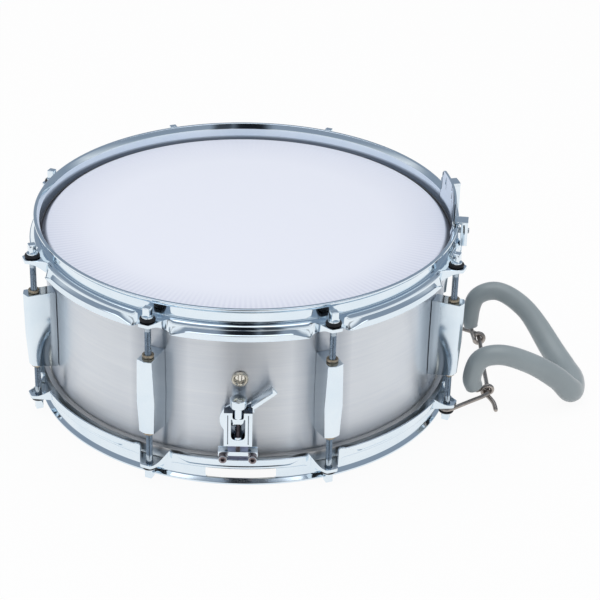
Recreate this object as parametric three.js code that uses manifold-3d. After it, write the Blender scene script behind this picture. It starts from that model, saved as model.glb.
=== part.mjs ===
// A marching snare drum of 14 by 5.5 inch, in millimetres, +Z up.
// The drum stands on its bottom hoop. All heights below are counted from the floor, and the
// finished group is lowered so that the origin is the centre of the upper head's playing face.
// The strainer faces -Y, and the leg rest and the sling bracket are on the +X side.
import * as THREE from 'three';
import { mergeVertices } from 'three/addons/utils/BufferGeometryUtils.js';
import Module from 'manifold-3d';

const wasm = await Module();
wasm.setup();

// Sizes that everything shares
const gap = 0.3;
const overrun = 6;
const roundSides = 64;
const lugCount = 8;

const shell = { radius: 177.8, wall: 1.6, depth: 141, edgeBevel: 2.4, edgeLand: 2, edgeReturn: 3.2 };
const film = { thickness: 0.35, flatInset: 2.2, collarDrop: 9 };
film.flatRadius = shell.radius - film.flatInset;

const fleshHoop = {
  offShell: 1.4,
  width: 4.6,
  height: 10,
  slotWidth: 1,
  slotWall: 0.9,
  slotDepth: 6.4,
  slotLead: 2.6,
};
fleshHoop.inner = shell.radius + fleshHoop.offShell;
fleshHoop.outer = fleshHoop.inner + fleshHoop.width;

// The pressed steel hoop. Its wall stands on the flesh hoop, its shelf laps over it and its skirt
// hangs outside it. Depths count from its lip towards the middle of the drum.
const hoop = {
  lipToEdge: 13.5,
  lap: 2.5,
  steel: 1.6,
  lipReach: 5.7,
  lipLand: 2.8,
  lipFlare: 4.4,
  shelfDepth: 14.5,
  skirtGap: 2.2,
  skirtDepth: 27,
  flangeReach: 4.8,
  flangeDepth: 3.4,
  flangeEdge: 1.6,
};
hoop.inner = fleshHoop.outer - hoop.lap;
hoop.lipOuter = hoop.inner + hoop.lipReach;
hoop.skirtInner = fleshHoop.outer + hoop.skirtGap;
hoop.flangeOuter = hoop.skirtInner + hoop.flangeReach;

const rod = {
  offFlange: 4.7,
  shank: 2.8,
  intoLug: 22,
  washer: 6.75,
  washerHeight: 2,
  collar: 5.5,
  collarHeight: 1.6,
  headWidth: 6.3,
  headHeight: 8,
  shortHeadHeight: 6,
};
rod.circle = hoop.flangeOuter + rod.offFlange;

const ear = { beyondRod: 7.9, rootHalf: 13, tipHalf: 7, tipCorner: 4, drop: 6, notchHalf: 10.5, hole: 3.3 };
ear.reach = rod.circle + ear.beyondRod;
const gate = { halfWidth: 29.6, offset: 1.6, lipBand: 2.5, strapMargin: 2 };

// Half widths, and how far each corner lies outside the rods' circle
const lug = { height: 70, girdleDrop: 41, bore: 3.4, boreDepth: 25, nut: 5, nutHeight: 3 };
lug.topRing = { baseHalf: 6.7, sideHalf: 6.8, side: 7.4, frontHalf: 3.4, front: 8.7, nose: 9.8 };
lug.girdleRing = { baseHalf: 7.3, sideHalf: 8.2, side: 6, frontHalf: 5.1, front: 8, nose: 9.1 };
lug.bottomRing = { baseHalf: 6.6, sideHalf: 6.8, side: 5, frontHalf: 3.4, front: 6.3, nose: 7.1 };
lug.baseDrop = 4;

const vent = { height: 98.5, bore: 4.3, barrel: 5.9, flange: 7, flangeThick: 2.2, rim: 1, tail: 1.4 };

// The strainer, a side-throw snare release. x counts from its own centre line, and drop and rise
// count from the lever's pivot.
const strainer = { offset: -0.8, pivotHeight: 62, travel: 6 };
const base = { thick: 2, halfWidth: 11.5, drop: 19, rise: 11.5, bore: 2.8 };
const lever = {
  disc: 15.6,
  thick: 2.6,
  restAngle: 40,
  swing: 75,
  neckFrom: 8,
  handleFrom: 19.2,
  handleTo: 41.2,
  handleLow: -0.6,
  handleHigh: 7,
  flangeDeep: 11.5,
  sheet: 1.8,
  camPin: 1,
  camReach: 2,
};
const leverPin = { shank: 2.5, head: 3.6, headThick: 1.2 };
const carriage = {
  halfWidth: 11.8,
  drop: 19.8,
  rise: 12.2,
  front: 9.2,
  backWall: 1.8,
  slotHalf: 5.5,
  slotDrop: 14,
  shoulderRise: 4.5,
  webHalf: 2.8,
  webDrop: 1,
  webRise: 6.2,
};
carriage.bottom = strainer.pivotHeight - carriage.drop;
carriage.top = strainer.pivotHeight + carriage.rise;
carriage.webTop = strainer.pivotHeight + carriage.webRise;
const knob = {
  fromBack: 5.4,
  screw: 1.9,
  neck: 4.2,
  neckRise: 17.3,
  head: 6.6,
  headEdgeRise: 19.3,
  rise: 22.2,
  rounding: 0.5,
};

// The snare clamp hangs under the carriage, and the strap runs up between its two jaws
const strap = { half: 8.5, thick: 0.5, fleshGap: 0.6, belowCarriage: 1 };
strap.topEnd = carriage.bottom - strap.belowCarriage;
const clamp = {
  halfWidth: 16.5,
  height: 8.2,
  belowCarriage: 5.8,
  barHeight: 4,
  deep: 7,
  jawThick: 1.2,
  screwApart: 24.6,
  boss: 3.9,
};
clamp.top = carriage.bottom - clamp.belowCarriage;
clamp.bottom = clamp.top - clamp.height;
const clampScrew = { head: 3.6, headLong: 5.5, shank: 1.4, hole: 1.8, socket: 1.7, socketDeep: 2.4 };
const butt = { plateHeight: 31.8, jawThick: 3, jawHeight: 10.2, screwRise: 5.2, screwHeadLong: 4.5 };
butt.plateTop = clamp.bottom + butt.plateHeight;
butt.jawTop = clamp.bottom + butt.jawHeight;
butt.screwHeight = clamp.bottom + butt.screwRise;
const snares = {
  strands: 10,
  strand: 0.62,
  spacing: 3.1,
  plateInset: 17.6,
  plateWide: 10,
  plateMargin: 2.55,
  plateThick: 1.6,
  filmGap: 0.35,
};
snares.plateTo = film.flatRadius - snares.plateInset;
snares.plateFrom = snares.plateTo - snares.plateWide;
snares.plateHalf = ((snares.strands - 1) * snares.spacing) / 2 + snares.plateMargin;
const strapRoute = { turnBelow: 0.1, turnIn: 2.05, meetInset: 0.6 };

// The leg rest: a wire bracket on two bottom rods, and a bow of wire in a rubber sleeve hooked on it
const bracket = {
  wire: 1.9,
  loopSlack: 0.5,
  offRods: 23.8,
  crossNear: 52,
  crossFar: 57,
  cornerBend: 5,
  cornerShare: 0.25,
  loopSweep: 265,
};
bracket.crossX = rod.circle + bracket.offRods;
const bow = {
  wire: 2,
  eyeSlack: 0.5,
  reach: 80,
  pastCross: 1,
  top: 58.8,
  floorGap: 0.5,
  eyeInset: 10.5,
  eyePitch: 4.5,
  nearSweep: 450,
  farSweep: 390,
};
bow.half = bracket.crossFar + bow.pastCross;
bow.tail = { out: 6.8, drop: 9.6, along: 17, bendShare: 0.45 };
const sleeve = { radius: 9.7, bore: 3.2 };
const bowLeadShares = [
  [-0.13, -0.925, 0.145],
  [-0.08, 0.905, 0.13],
];
const bowRouteShares = [
  [-0.165, -0.97, 0.25],
  [-0.2, -0.98, 0.45],
  [-0.12, -1, 0.86],
  [0.08, -1, 0.96],
  [0.42, -0.95, 0.77],
  [0.76, -0.83, 0.37],
  [0.935, -0.72, 0.05],
  [0.97, -0.34, 0],
  [0.805, 0.31, 0.2],
  [0.485, 0.82, 0.77],
  [0.17, 0.98, 1],
  [-0.05, 0.98, 0.86],
  [-0.105, 0.97, 0.4],
  [-0.09, 0.955, 0.2],
];

// The sling bracket, a curved plate clamped over the upper hoop
const sling = {
  from: 80,
  to: 105.6,
  thick: 2,
  hoopGap: 0.6,
  headGap: 0.5,
  above: 18,
  corner: 4,
  slopeRun: 9,
  slopeDrop: 14,
  lean: 1.4,
  farHookRise: 6.5,
};
sling.hooks = [{ angle: 83.5, rise: gap }, { angle: 103.3, rise: sling.farHookRise }];
sling.bridge = { half: 6, thick: 2.6 };
sling.leg = { half: 5.5, offWall: 6.1, thick: 6, down: 20 };
sling.slot = { angle: 102.2, half: 1.5, bottom: 7, top: 12 };
sling.holes = { angle: 94.5, radius: 1.6, low: 5.6, high: 13.5 };
const slingScrew = {
  radius: 2.4,
  hole: 2.8,
  drop: 7.5,
  proud: 1.2,
  slotWidth: 0.8,
  slotDeep: 0.8,
  wallGap: 0.4,
};

// Levels and radii that follow from the sizes above
const turn = 2 * Math.PI;
const degree = Math.PI / 180;
const drumHeight = shell.depth + 2 * hoop.lipToEdge;
const shellInner = shell.radius - shell.wall;
const filmOuterFace = hoop.lipToEdge - gap - film.thickness;
const playingHeight = drumHeight - filmOuterFace;
const shelfUnder = hoop.shelfDepth + hoop.steel;
const fleshNear = shelfUnder + gap;
const onShell = shell.radius + gap;
const lugSpacing = turn / lugCount;
const lugAngles = Array.from({ length: lugCount }, (_, i) => (i - 1.5) * lugSpacing);
const lugBottom = (drumHeight - lug.height) / 2;
const lugTop = lugBottom + lug.height;
const wallInner = hoop.inner;
const wallOuter = hoop.inner + hoop.steel;

// Materials
function finish(color, roughness, metalness) {
  return new THREE.MeshStandardMaterial({ color, roughness, metalness });
}

const chrome = finish(0xdfe6ea, 0.08, 1);
const brushedAluminium = finish(0xc3c6cc, 0.4, 1);
const plainAluminium = finish(0xa9a9a8, 0.35, 1);
const headFilm = finish(0xecebf4, 0.45, 0);
const greyRubber = finish(0x8f9a9b, 0.6, 0);
const steelWire = finish(0x8c857e, 0.35, 1);
const nickel = finish(0xb9b09e, 0.3, 1);
const ribbon = finish(0xc9cbe6, 0.7, 0);

// From three.js to a solid and back
function signedVolume(positions, index) {
  const corner = [new THREE.Vector3(), new THREE.Vector3(), new THREE.Vector3()];
  let total = 0;
  for (let i = 0; i < index.length; i += 3) {
    corner.forEach((point, k) => point.fromArray(positions, 3 * index[i + k]));
    total += corner[0].dot(corner[1].cross(corner[2]));
  }
  return total / 6;
}

function solid(geometry) {
  const bare = geometry.clone();
  bare.deleteAttribute('normal');
  bare.deleteAttribute('uv');
  const merged = mergeVertices(bare, 1e-4);
  const positions = Float32Array.from(merged.attributes.position.array);
  const index = Uint32Array.from(merged.index.array);
  if (signedVolume(positions, index) < 0) {
    for (let i = 0; i < index.length; i += 3) {
      [index[i], index[i + 1]] = [index[i + 1], index[i]];
    }
  }
  return new wasm.Manifold(new wasm.Mesh({ numProp: 3, vertProperties: positions, triVerts: index }));
}

function geometryOf(body) {
  const mesh = body.getMesh();
  const geometry = new THREE.BufferGeometry();
  geometry.setAttribute('position', new THREE.BufferAttribute(Float32Array.from(mesh.vertProperties), 3));
  geometry.setIndex(new THREE.BufferAttribute(Uint32Array.from(mesh.triVerts), 1));
  geometry.computeVertexNormals();
  return geometry;
}

// Simple bodies
function block(x, y, z) {
  const geometry = new THREE.BoxGeometry(x[1] - x[0], y[1] - y[0], z[1] - z[0]);
  geometry.translate((x[0] + x[1]) / 2, (y[0] + y[1]) / 2, (z[0] + z[1]) / 2);
  return solid(geometry);
}

function upright(radius, x, y, z, sides = 16) {
  const geometry = new THREE.CylinderGeometry(radius, radius, z[1] - z[0], sides);
  geometry.rotateX(Math.PI / 2);
  geometry.translate(x, y, (z[0] + z[1]) / 2);
  return solid(geometry);
}

function along(radius, x, y, z, sides = 16) {
  const geometry = new THREE.CylinderGeometry(radius, radius, y[1] - y[0], sides);
  geometry.translate(x, (y[0] + y[1]) / 2, z);
  return solid(geometry);
}

// A profile of [radius, height] pairs, spun about Z. It starts and ends on the axis or closes.
function spun(profile, sides = roundSides) {
  const points = profile.map(([radius, height]) => new THREE.Vector2(radius, height));
  if (profile[0][0] > 0) points.push(points[0].clone());
  const geometry = new THREE.LatheGeometry(points, sides);
  geometry.rotateX(Math.PI / 2);
  return geometry;
}

// An outline of [x, y] points raised from one height to another
function raised(outline, z) {
  const shape = new THREE.Shape(outline.map(([x, y]) => new THREE.Vector2(x, y)));
  const geometry = new THREE.ExtrudeGeometry(shape, { depth: z[1] - z[0], bevelEnabled: false });
  geometry.translate(0, 0, z[0]);
  return geometry;
}

// An outline of [x, z] points drawn out along Y, from y[0] to y[1]
function drawnOut(outline, y) {
  const geometry = raised(outline, [-y[1], -y[0]]);
  geometry.rotateX(Math.PI / 2);
  return geometry;
}

// A wire or a sleeve of a round section along a curve
function tube(curve, radius, bore, sides, steps) {
  const ring = (size, count) => Array.from({ length: count }, (_, i) => {
    const angle = (turn * i) / count;
    return new THREE.Vector2(size * Math.cos(angle), size * Math.sin(angle));
  });
  const section = new THREE.Shape(ring(radius, sides));
  if (bore > 0) section.holes.push(new THREE.Path(ring(bore, sides)));
  return new THREE.ExtrudeGeometry(section, { steps, bevelEnabled: false, extrudePath: curve });
}

function turned(body, angle) {
  return solid(geometryOf(body).rotateZ(angle));
}

// The drum, and a way to put a named piece on it
const drum = new THREE.Group();
drum.position.z = -playingHeight;

function add(name, body, material) {
  const geometry = body.isBufferGeometry ? geometryOf(solid(body)) : geometryOf(body);
  const mesh = new THREE.Mesh(geometry, material);
  mesh.name = name;
  drum.add(mesh);
  return mesh;
}

// A piece made for the lower end of the drum serves the upper end when it is turned over
function turnOver(mesh) {
  mesh.rotation.x = Math.PI;
  mesh.position.z = drumHeight;
  return mesh;
}

// Shell
function makeShell() {
  const low = hoop.lipToEdge;
  const high = drumHeight - hoop.lipToEdge;
  const edgeOuter = shell.radius - shell.edgeBevel;
  const edgeInner = edgeOuter - shell.edgeLand;
  const wall = solid(spun([
    [shell.radius, low + shell.edgeBevel],
    [shell.radius, high - shell.edgeBevel],
    [edgeOuter, high],
    [edgeInner, high],
    [shellInner, high - shell.edgeReturn],
    [shellInner, low + shell.edgeReturn],
    [edgeInner, low],
    [edgeOuter, low],
  ]));
  const ventY = [-shell.radius - overrun, -shellInner + overrun];
  const ventHole = along(vent.barrel + gap, 0, ventY, vent.height, 24);
  add('shell', wall.subtract(ventHole), brushedAluminium);
}

function makeVentGrommet() {
  const inside = shellInner - gap;
  const profile = [
    [vent.bore, onShell + vent.flangeThick - vent.rim],
    [vent.bore + vent.rim, onShell + vent.flangeThick],
    [vent.flange - vent.rim, onShell + vent.flangeThick],
    [vent.flange, onShell + vent.flangeThick - vent.rim],
    [vent.flange, onShell],
    [vent.barrel, onShell],
    [vent.barrel, inside],
    [vent.flange, inside - vent.rim],
    [vent.flange, inside - vent.rim - vent.tail],
    [vent.bore, inside - vent.rim - vent.tail],
  ];
  const geometry = spun(profile, 24);
  geometry.rotateX(Math.PI / 2);
  geometry.translate(0, 0, vent.height);
  add('vent_grommet', geometry, nickel);
}

// Heads: a film in a channelled flesh hoop. Both are drawn for the lower end.
function makeHead(name, hoopName, isTop) {
  const outer = filmOuterFace;
  const inner = outer + film.thickness;
  const collarOuter = fleshHoop.inner + fleshHoop.slotWall + fleshHoop.slotWidth - gap;
  const collarInner = collarOuter - film.thickness;
  const drop = collarOuter - film.flatRadius;
  const collarEnd = outer + film.collarDrop;
  const sheet = spun([
    [0, outer],
    [film.flatRadius, outer],
    [collarOuter, outer + drop],
    [collarOuter, collarEnd],
    [collarInner, collarEnd],
    [collarInner, inner + drop - film.thickness],
    [film.flatRadius, inner],
    [0, inner],
  ]);
  const near = fleshNear;
  const far = near + fleshHoop.height;
  const slotInner = fleshHoop.inner + fleshHoop.slotWall;
  const slotOuter = slotInner + fleshHoop.slotWidth;
  const channel = spun([
    [fleshHoop.outer, near],
    [fleshHoop.outer, far],
    [fleshHoop.inner, far],
    [fleshHoop.inner, near + fleshHoop.slotLead],
    [slotInner, near + fleshHoop.slotLead],
    [slotInner, near + fleshHoop.slotDepth],
    [slotOuter, near + fleshHoop.slotDepth],
    [slotOuter, near],
  ]);
  const pieces = [add(name, sheet, headFilm), add(hoopName, channel, plainAluminium)];
  if (isTop) pieces.forEach(turnOver);
}

// Hoops, drawn for the lower end with the lip on the floor
function hoopRing() {
  const { inner, steel, lipOuter, lipLand, lipFlare, shelfDepth, skirtInner, skirtDepth } = hoop;
  const skirtOuter = skirtInner + steel;
  const flangeStart = skirtDepth - hoop.flangeDepth;
  return solid(spun([
    [lipOuter - lipLand, 0],
    [lipOuter, 0],
    [lipOuter, steel],
    [wallOuter, lipFlare],
    [wallOuter, shelfDepth],
    [skirtOuter, shelfDepth],
    [skirtOuter, flangeStart],
    [hoop.flangeOuter, skirtDepth - hoop.flangeEdge],
    [hoop.flangeOuter, skirtDepth],
    [hoop.flangeOuter - steel, skirtDepth],
    [skirtInner, flangeStart + hoop.flangeEdge / 2],
    [skirtInner, shelfUnder],
    [inner, shelfUnder],
    [inner, lipFlare],
  ]));
}

function earOutline(inset) {
  const root = ear.rootHalf - inset;
  const tip = ear.tipHalf - inset;
  const reach = ear.reach - inset;
  const start = hoop.skirtInner - inset;
  return [
    [-root, -start],
    [-tip, -(reach - ear.tipCorner)],
    [-(tip - ear.tipCorner / 2), -reach],
    [tip - ear.tipCorner / 2, -reach],
    [tip, -(reach - ear.tipCorner)],
    [root, -start],
  ];
}

function makeHoop(name, hasGates) {
  let ring = hoopRing();
  lugAngles.forEach((angle) => {
    const notch = block(
      [-ear.notchHalf, ear.notchHalf],
      [-hoop.flangeOuter - overrun, -hoop.skirtInner + hoop.steel],
      [shelfUnder, hoop.skirtDepth + overrun],
    );
    const cap = solid(raised(earOutline(0), [hoop.shelfDepth, shelfUnder + ear.drop]));
    const hollow = solid(raised(earOutline(hoop.steel), [shelfUnder, shelfUnder + ear.drop + overrun]));
    const hole = upright(ear.hole, 0, -rod.circle, [hoop.shelfDepth - overrun, shelfUnder + overrun], 12);
    const shapedCap = cap.subtract(hollow).subtract(hole);
    ring = ring.subtract(turned(notch, angle)).add(turned(shapedCap, angle));
  });
  if (hasGates) {
    const strapHalf = strap.half + gate.strapMargin;
    [-1, 1].forEach((side) => {
      const yInner = side * (wallInner - overrun);
      const yWall = side * (wallOuter + gap);
      const ySkirt = side * hoop.skirtInner;
      const sorted = (a, b) => [Math.min(a, b), Math.max(a, b)];
      const centre = side < 0 ? strainer.offset : 0;
      const window = block(
        [gate.offset - gate.halfWidth, gate.offset + gate.halfWidth],
        sorted(yInner, yWall),
        [gate.lipBand + hoop.steel, hoop.shelfDepth],
      );
      const slot = block(
        [centre - strapHalf, centre + strapHalf],
        sorted(yInner, ySkirt),
        [hoop.shelfDepth - hoop.steel, shelfUnder + gap],
      );
      ring = ring.subtract(window).subtract(slot);
    });
  }
  return add(name, ring, chrome);
}

// Lugs: a faceted casing lofted through three seven-sided rings, with its two swivel nuts
function lugRing(ring, z, baseDrop = 0) {
  const side = -(rod.circle + ring.side);
  const front = -(rod.circle + ring.front);
  return [
    [-ring.baseHalf, -onShell, z - baseDrop],
    [-ring.sideHalf, side, z],
    [-ring.frontHalf, front, z],
    [0, -(rod.circle + ring.nose), z],
    [ring.frontHalf, front, z],
    [ring.sideHalf, side, z],
    [ring.baseHalf, -onShell, z - baseDrop],
  ];
}

function loft(rings) {
  const count = rings[0].length;
  const index = [];
  for (let level = 0; level + 1 < rings.length; level += 1) {
    for (let i = 0; i < count; i += 1) {
      const next = (i + 1) % count;
      const [a, b] = [level * count + i, level * count + next];
      index.push(a, b, b + count, a, b + count, a + count);
    }
  }
  const last = (rings.length - 1) * count;
  for (let i = 1; i + 1 < count; i += 1) {
    index.push(0, i + 1, i, last, last + i, last + i + 1);
  }
  const geometry = new THREE.BufferGeometry();
  geometry.setAttribute('position', new THREE.Float32BufferAttribute(rings.flat(2), 3));
  geometry.setIndex(index);
  return geometry;
}

function makeLugs() {
  const casing = solid(loft([
    lugRing(lug.bottomRing, lugBottom, lug.baseDrop),
    lugRing(lug.girdleRing, lugTop - lug.girdleDrop),
    lugRing(lug.topRing, lugTop),
  ]));
  const y = -rod.circle;
  const nuts = upright(lug.nut, 0, y, [lugBottom - lug.nutHeight, lugTop + lug.nutHeight], 12);
  const lower = upright(lug.bore, 0, y, [lugBottom - overrun, lugBottom + lug.boreDepth], 12);
  const upper = upright(lug.bore, 0, y, [lugTop - lug.boreDepth, lugTop + overrun], 12);
  const whole = casing.add(nuts).subtract(lower).subtract(upper);
  lugAngles.forEach((angle, i) => {
    add(`lug_${i + 1}`, whole, chrome).rotation.z = angle;
  });
}

// Tension rods, drawn for the lower end: square head, collar, washer and shank
function rodBody(packing, headHeight) {
  const seat = hoop.shelfDepth - gap - packing;
  const underWasher = seat - rod.washerHeight;
  const underCollar = underWasher - rod.collarHeight;
  const shankEnd = lugBottom + rod.intoLug;
  const round = solid(spun([
    [0, underCollar],
    [rod.collar, underCollar],
    [rod.collar, underWasher],
    [rod.washer, underWasher],
    [rod.washer, seat],
    [rod.shank, seat],
    [rod.shank, shankEnd],
    [0, shankEnd],
  ], 12));
  const half = rod.headWidth / 2;
  const headZ = [underCollar - headHeight, underCollar + rod.collarHeight / 2];
  const head = block([-half, half], [-half, half], headZ);
  return round.add(head);
}

function makeRods() {
  const plain = rodBody(0, rod.headHeight);
  const withBracket = rodBody(2 * bracket.wire + gap, rod.shortHeadHeight);
  lugAngles.forEach((angle, i) => {
    const holdsBracket = Math.abs(Math.abs(angle - turn / 4) - lugSpacing / 2) < degree;
    const x = rod.circle * Math.sin(angle);
    const y = -rod.circle * Math.cos(angle);
    const lower = add(`tension_rod_bottom_${i + 1}`, holdsBracket ? withBracket : plain, chrome);
    lower.position.set(x, y, 0);
    lower.rotation.z = angle;
    const upper = turnOver(add(`tension_rod_top_${i + 1}`, plain, chrome));
    upper.position.x = x;
    upper.position.y = y;
    upper.rotation.z = -angle;
  });
}

// Strainer. Its layers are stacked outwards from the shell, and depth counts from the drum's axis.
const baseFront = onShell + base.thick;
const leverBack = baseFront + gap;
const leverFront = leverBack + lever.thick;
const carriageBack = leverFront + gap;
const carriageFront = carriageBack + carriage.front;
const knobDepth = carriageBack + knob.fromBack;
const camRadius = strainer.travel / (2 * Math.sin((lever.swing / 2) * degree));
const strapBack = fleshHoop.outer + strap.fleshGap;
const strapFront = strapBack + strap.thick;
const clampBack = strapFront + gap;
const jawFront = strapBack - gap;

function radialPin(radius, x, from, to, z, sides = 16) {
  return along(radius, strainer.offset + x, [-to, -from], z, sides);
}

function strainerBlock(x, depth, z) {
  return block([strainer.offset + x[0], strainer.offset + x[1]], [-depth[1], -depth[0]], z);
}

function makeBase() {
  const hub = strainer.pivotHeight;
  const height = [hub - base.drop, hub + base.rise];
  const plate = strainerBlock([-base.halfWidth, base.halfWidth], [onShell, baseFront], height);
  const bore = radialPin(base.bore, 0, onShell - overrun, baseFront + overrun, hub);
  add('strainer_base', plate.subtract(bore), chrome);
}

function makeLever() {
  const hub = strainer.pivotHeight;
  const disc = along(lever.disc, 0, [-leverFront, -leverBack], 0, 40);
  const plate = block(
    [lever.neckFrom, lever.handleTo],
    [-leverFront, -leverBack],
    [lever.handleLow, lever.handleHigh],
  );
  const flange = block(
    [lever.handleFrom, lever.handleTo],
    [-leverBack - lever.flangeDeep, -leverBack],
    [lever.handleHigh - lever.sheet, lever.handleHigh],
  );
  const bore = along(base.bore, 0, [-leverFront - overrun, -leverBack + overrun], 0);
  const camAngle = (180 + lever.swing / 2 - lever.restAngle) * degree;
  const camTip = leverFront + lever.camReach;
  const camX = camRadius * Math.cos(camAngle);
  const camZ = camRadius * Math.sin(camAngle);
  const cam = along(lever.camPin, camX, [-camTip, -leverBack], camZ, 12);
  const flat = disc.add(plate).add(flange).subtract(bore).add(cam);
  const mesh = add('strainer_lever', flat, chrome);
  mesh.position.set(strainer.offset, 0, hub);
  mesh.rotation.y = -lever.restAngle * degree;
}

function makeLeverPin() {
  const headBack = carriageBack + carriage.backWall + gap;
  const headFront = headBack + leverPin.headThick;
  const hub = strainer.pivotHeight;
  const shank = radialPin(leverPin.shank, 0, onShell + gap, headBack + leverPin.headThick / 2, hub);
  const head = radialPin(leverPin.head, 0, headBack, headFront, hub);
  add('lever_pin', shank.add(head), chrome);
}

function makeCarriage() {
  const { halfWidth, bottom, top, slotHalf, webHalf, webTop } = carriage;
  const hub = strainer.pivotHeight;
  const wallFront = carriageBack + carriage.backWall;
  const outlineAt = (points) => points.map(([x, z]) => [strainer.offset + x, z]);
  const body = strainerBlock([-halfWidth, halfWidth], [carriageBack, carriageFront], [bottom, top]);
  const slot = solid(drawnOut(outlineAt([
    [-slotHalf, hub - carriage.slotDrop],
    [slotHalf, hub - carriage.slotDrop],
    [slotHalf, hub + carriage.shoulderRise],
    [webHalf, hub - carriage.webDrop],
    [-webHalf, hub - carriage.webDrop],
    [-slotHalf, hub + carriage.shoulderRise],
  ]), [-carriageFront - overrun, -wallFront]));
  const x = strainer.offset;
  const y = -knobDepth;
  const neckGap = knob.neck + gap;
  const neckZ = [webTop, top + overrun];
  const neckBore = upright(neckGap, x, y, neckZ);
  const neckMouth = strainerBlock([-neckGap, neckGap], [knobDepth, carriageFront + overrun], neckZ);
  const screwBore = upright(knob.screw + gap, x, y, [bottom - overrun, top], 12);
  const pinGap = leverPin.shank + gap;
  const pinSlot = strainerBlock(
    [-pinGap, pinGap],
    [carriageBack - overrun, wallFront + gap],
    [hub - strainer.travel - pinGap, hub + pinGap],
  );
  const headGap = leverPin.head + gap;
  const headRoom = strainerBlock(
    [-headGap, headGap],
    [wallFront, wallFront + leverPin.headThick + 2 * gap],
    [hub - strainer.travel - headGap, hub + headGap],
  );
  const camGap = lever.camPin + gap;
  const camLow = camRadius * Math.cos((lever.swing / 2) * degree);
  const camHeight = hub - strainer.travel / 2;
  const camSlot = strainerBlock(
    [-camRadius - camGap, -camLow + camGap],
    [carriageBack - overrun, wallFront + gap],
    [camHeight - camGap, camHeight + camGap],
  );
  const cuts = [slot, neckBore, neckMouth, screwBore, pinSlot, headRoom, camSlot];
  const whole = cuts.reduce((rest, cut) => rest.subtract(cut), body);
  add('strainer_carriage', whole, chrome);
}

function makeKnob() {
  const screwEnd = clamp.top - clamp.barHeight - gap;
  const hub = strainer.pivotHeight;
  const top = hub + knob.rise;
  const geometry = spun([
    [0, screwEnd],
    [knob.screw, screwEnd],
    [knob.screw, carriage.webTop + gap],
    [knob.neck, carriage.webTop + gap],
    [knob.neck, hub + knob.neckRise],
    [knob.head, hub + knob.headEdgeRise],
    [knob.head, top - knob.rounding],
    [knob.head - knob.rounding, top],
    [0, top],
  ], 20);
  const mesh = add('tension_knob', geometry, chrome);
  mesh.position.set(strainer.offset, -knobDepth, 0);
}

// Snare clamp: a bar with two bosses in front of the strap and a jaw behind it, drawn up by two screws
function makeClamp() {
  const { halfWidth, top, bottom } = clamp;
  const front = clampBack + clamp.deep;
  const screwX = clamp.screwApart / 2;
  const screwZ = bottom + clamp.boss;
  const bar = strainerBlock([-halfWidth, halfWidth], [clampBack, front], [top - clamp.barHeight, top]);
  const bore = upright(knob.screw + gap, strainer.offset, -knobDepth, [bottom, top + overrun], 12);
  let body = bar.subtract(bore);
  let jaw = strainerBlock([-halfWidth, halfWidth], [jawFront - clamp.jawThick, jawFront], [bottom, top]);
  [-screwX, screwX].forEach((x, i) => {
    const hole = radialPin(clampScrew.hole, x, jawFront - overrun, front + overrun, screwZ, 12);
    body = body.add(radialPin(clamp.boss, x, clampBack, front, screwZ, 20)).subtract(hole);
    jaw = jaw.subtract(hole);
    const headFrom = front + gap;
    const headTo = headFrom + clampScrew.headLong;
    const shankTo = headFrom + clampScrew.headLong / 2;
    const shank = radialPin(clampScrew.shank, x, jawFront - clamp.jawThick, shankTo, screwZ, 10);
    const head = radialPin(clampScrew.head, x, headFrom, headTo, screwZ, 16);
    const socketBottom = headTo - clampScrew.socketDeep;
    const socket = radialPin(clampScrew.socket, x, socketBottom, socketBottom + overrun, screwZ, 6);
    add(`clamp_screw_${i === 0 ? 'left' : 'right'}`, shank.add(head).subtract(socket), chrome);
  });
  add('snare_clamp', body, chrome);
  add('snare_clamp_jaw', jaw, chrome);
}

// Butt plate on the far side, which holds the other end of the snares
function makeButt() {
  const back = onShell;
  const plateFront = back + base.thick;
  const x = [-clamp.halfWidth, clamp.halfWidth];
  const jawFrontHere = clampBack + butt.jawThick;
  const plate = block(x, [back, plateFront], [clamp.bottom, butt.plateTop]);
  let body = plate.add(block(x, [back, jawFront], [clamp.bottom, butt.jawTop]));
  let jaw = block(x, [clampBack, jawFrontHere], [clamp.bottom, butt.jawTop]);
  [-1, 1].forEach((side) => {
    const screwX = (side * clamp.screwApart) / 2;
    const hole = along(clampScrew.hole, screwX, [plateFront, jawFrontHere + overrun], butt.screwHeight, 12);
    body = body.subtract(hole);
    jaw = jaw.subtract(hole);
    const headTo = jawFrontHere + gap + butt.screwHeadLong;
    const socketBottom = headTo - clampScrew.socketDeep;
    const shank = along(clampScrew.shank, screwX, [plateFront + gap, socketBottom], butt.screwHeight, 10);
    const head = along(clampScrew.head, screwX, [jawFrontHere + gap, headTo], butt.screwHeight, 16);
    const socket = along(clampScrew.socket, screwX, [socketBottom, headTo + overrun], butt.screwHeight, 6);
    add(`butt_screw_${side < 0 ? 'left' : 'right'}`, shank.add(head).subtract(socket), chrome);
  });
  add('butt_plate', body, chrome);
  add('butt_jaw', jaw, chrome);
}

// Snares: strands between two end plates under the lower head, and a strap at each end
const snareTop = filmOuterFace - snares.filmGap;
const snareMiddle = snareTop - snares.plateThick / 2;

function makeSnares() {
  const { plateFrom, plateTo, plateHalf, strand } = snares;
  const level = [snareTop - snares.plateThick, snareTop];
  const width = [-plateHalf, plateHalf];
  let comb = block(width, [plateFrom, plateTo], level).add(block(width, [-plateTo, -plateFrom], level));
  const middle = (snares.strands - 1) / 2;
  for (let i = 0; i < snares.strands; i += 1) {
    const reach = plateFrom + strand;
    const x = (i - middle) * snares.spacing;
    comb = comb.add(along(strand, x, [-reach, reach], snareMiddle, 6));
  }
  add('snare_wires', comb, steelWire);
}

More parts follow.
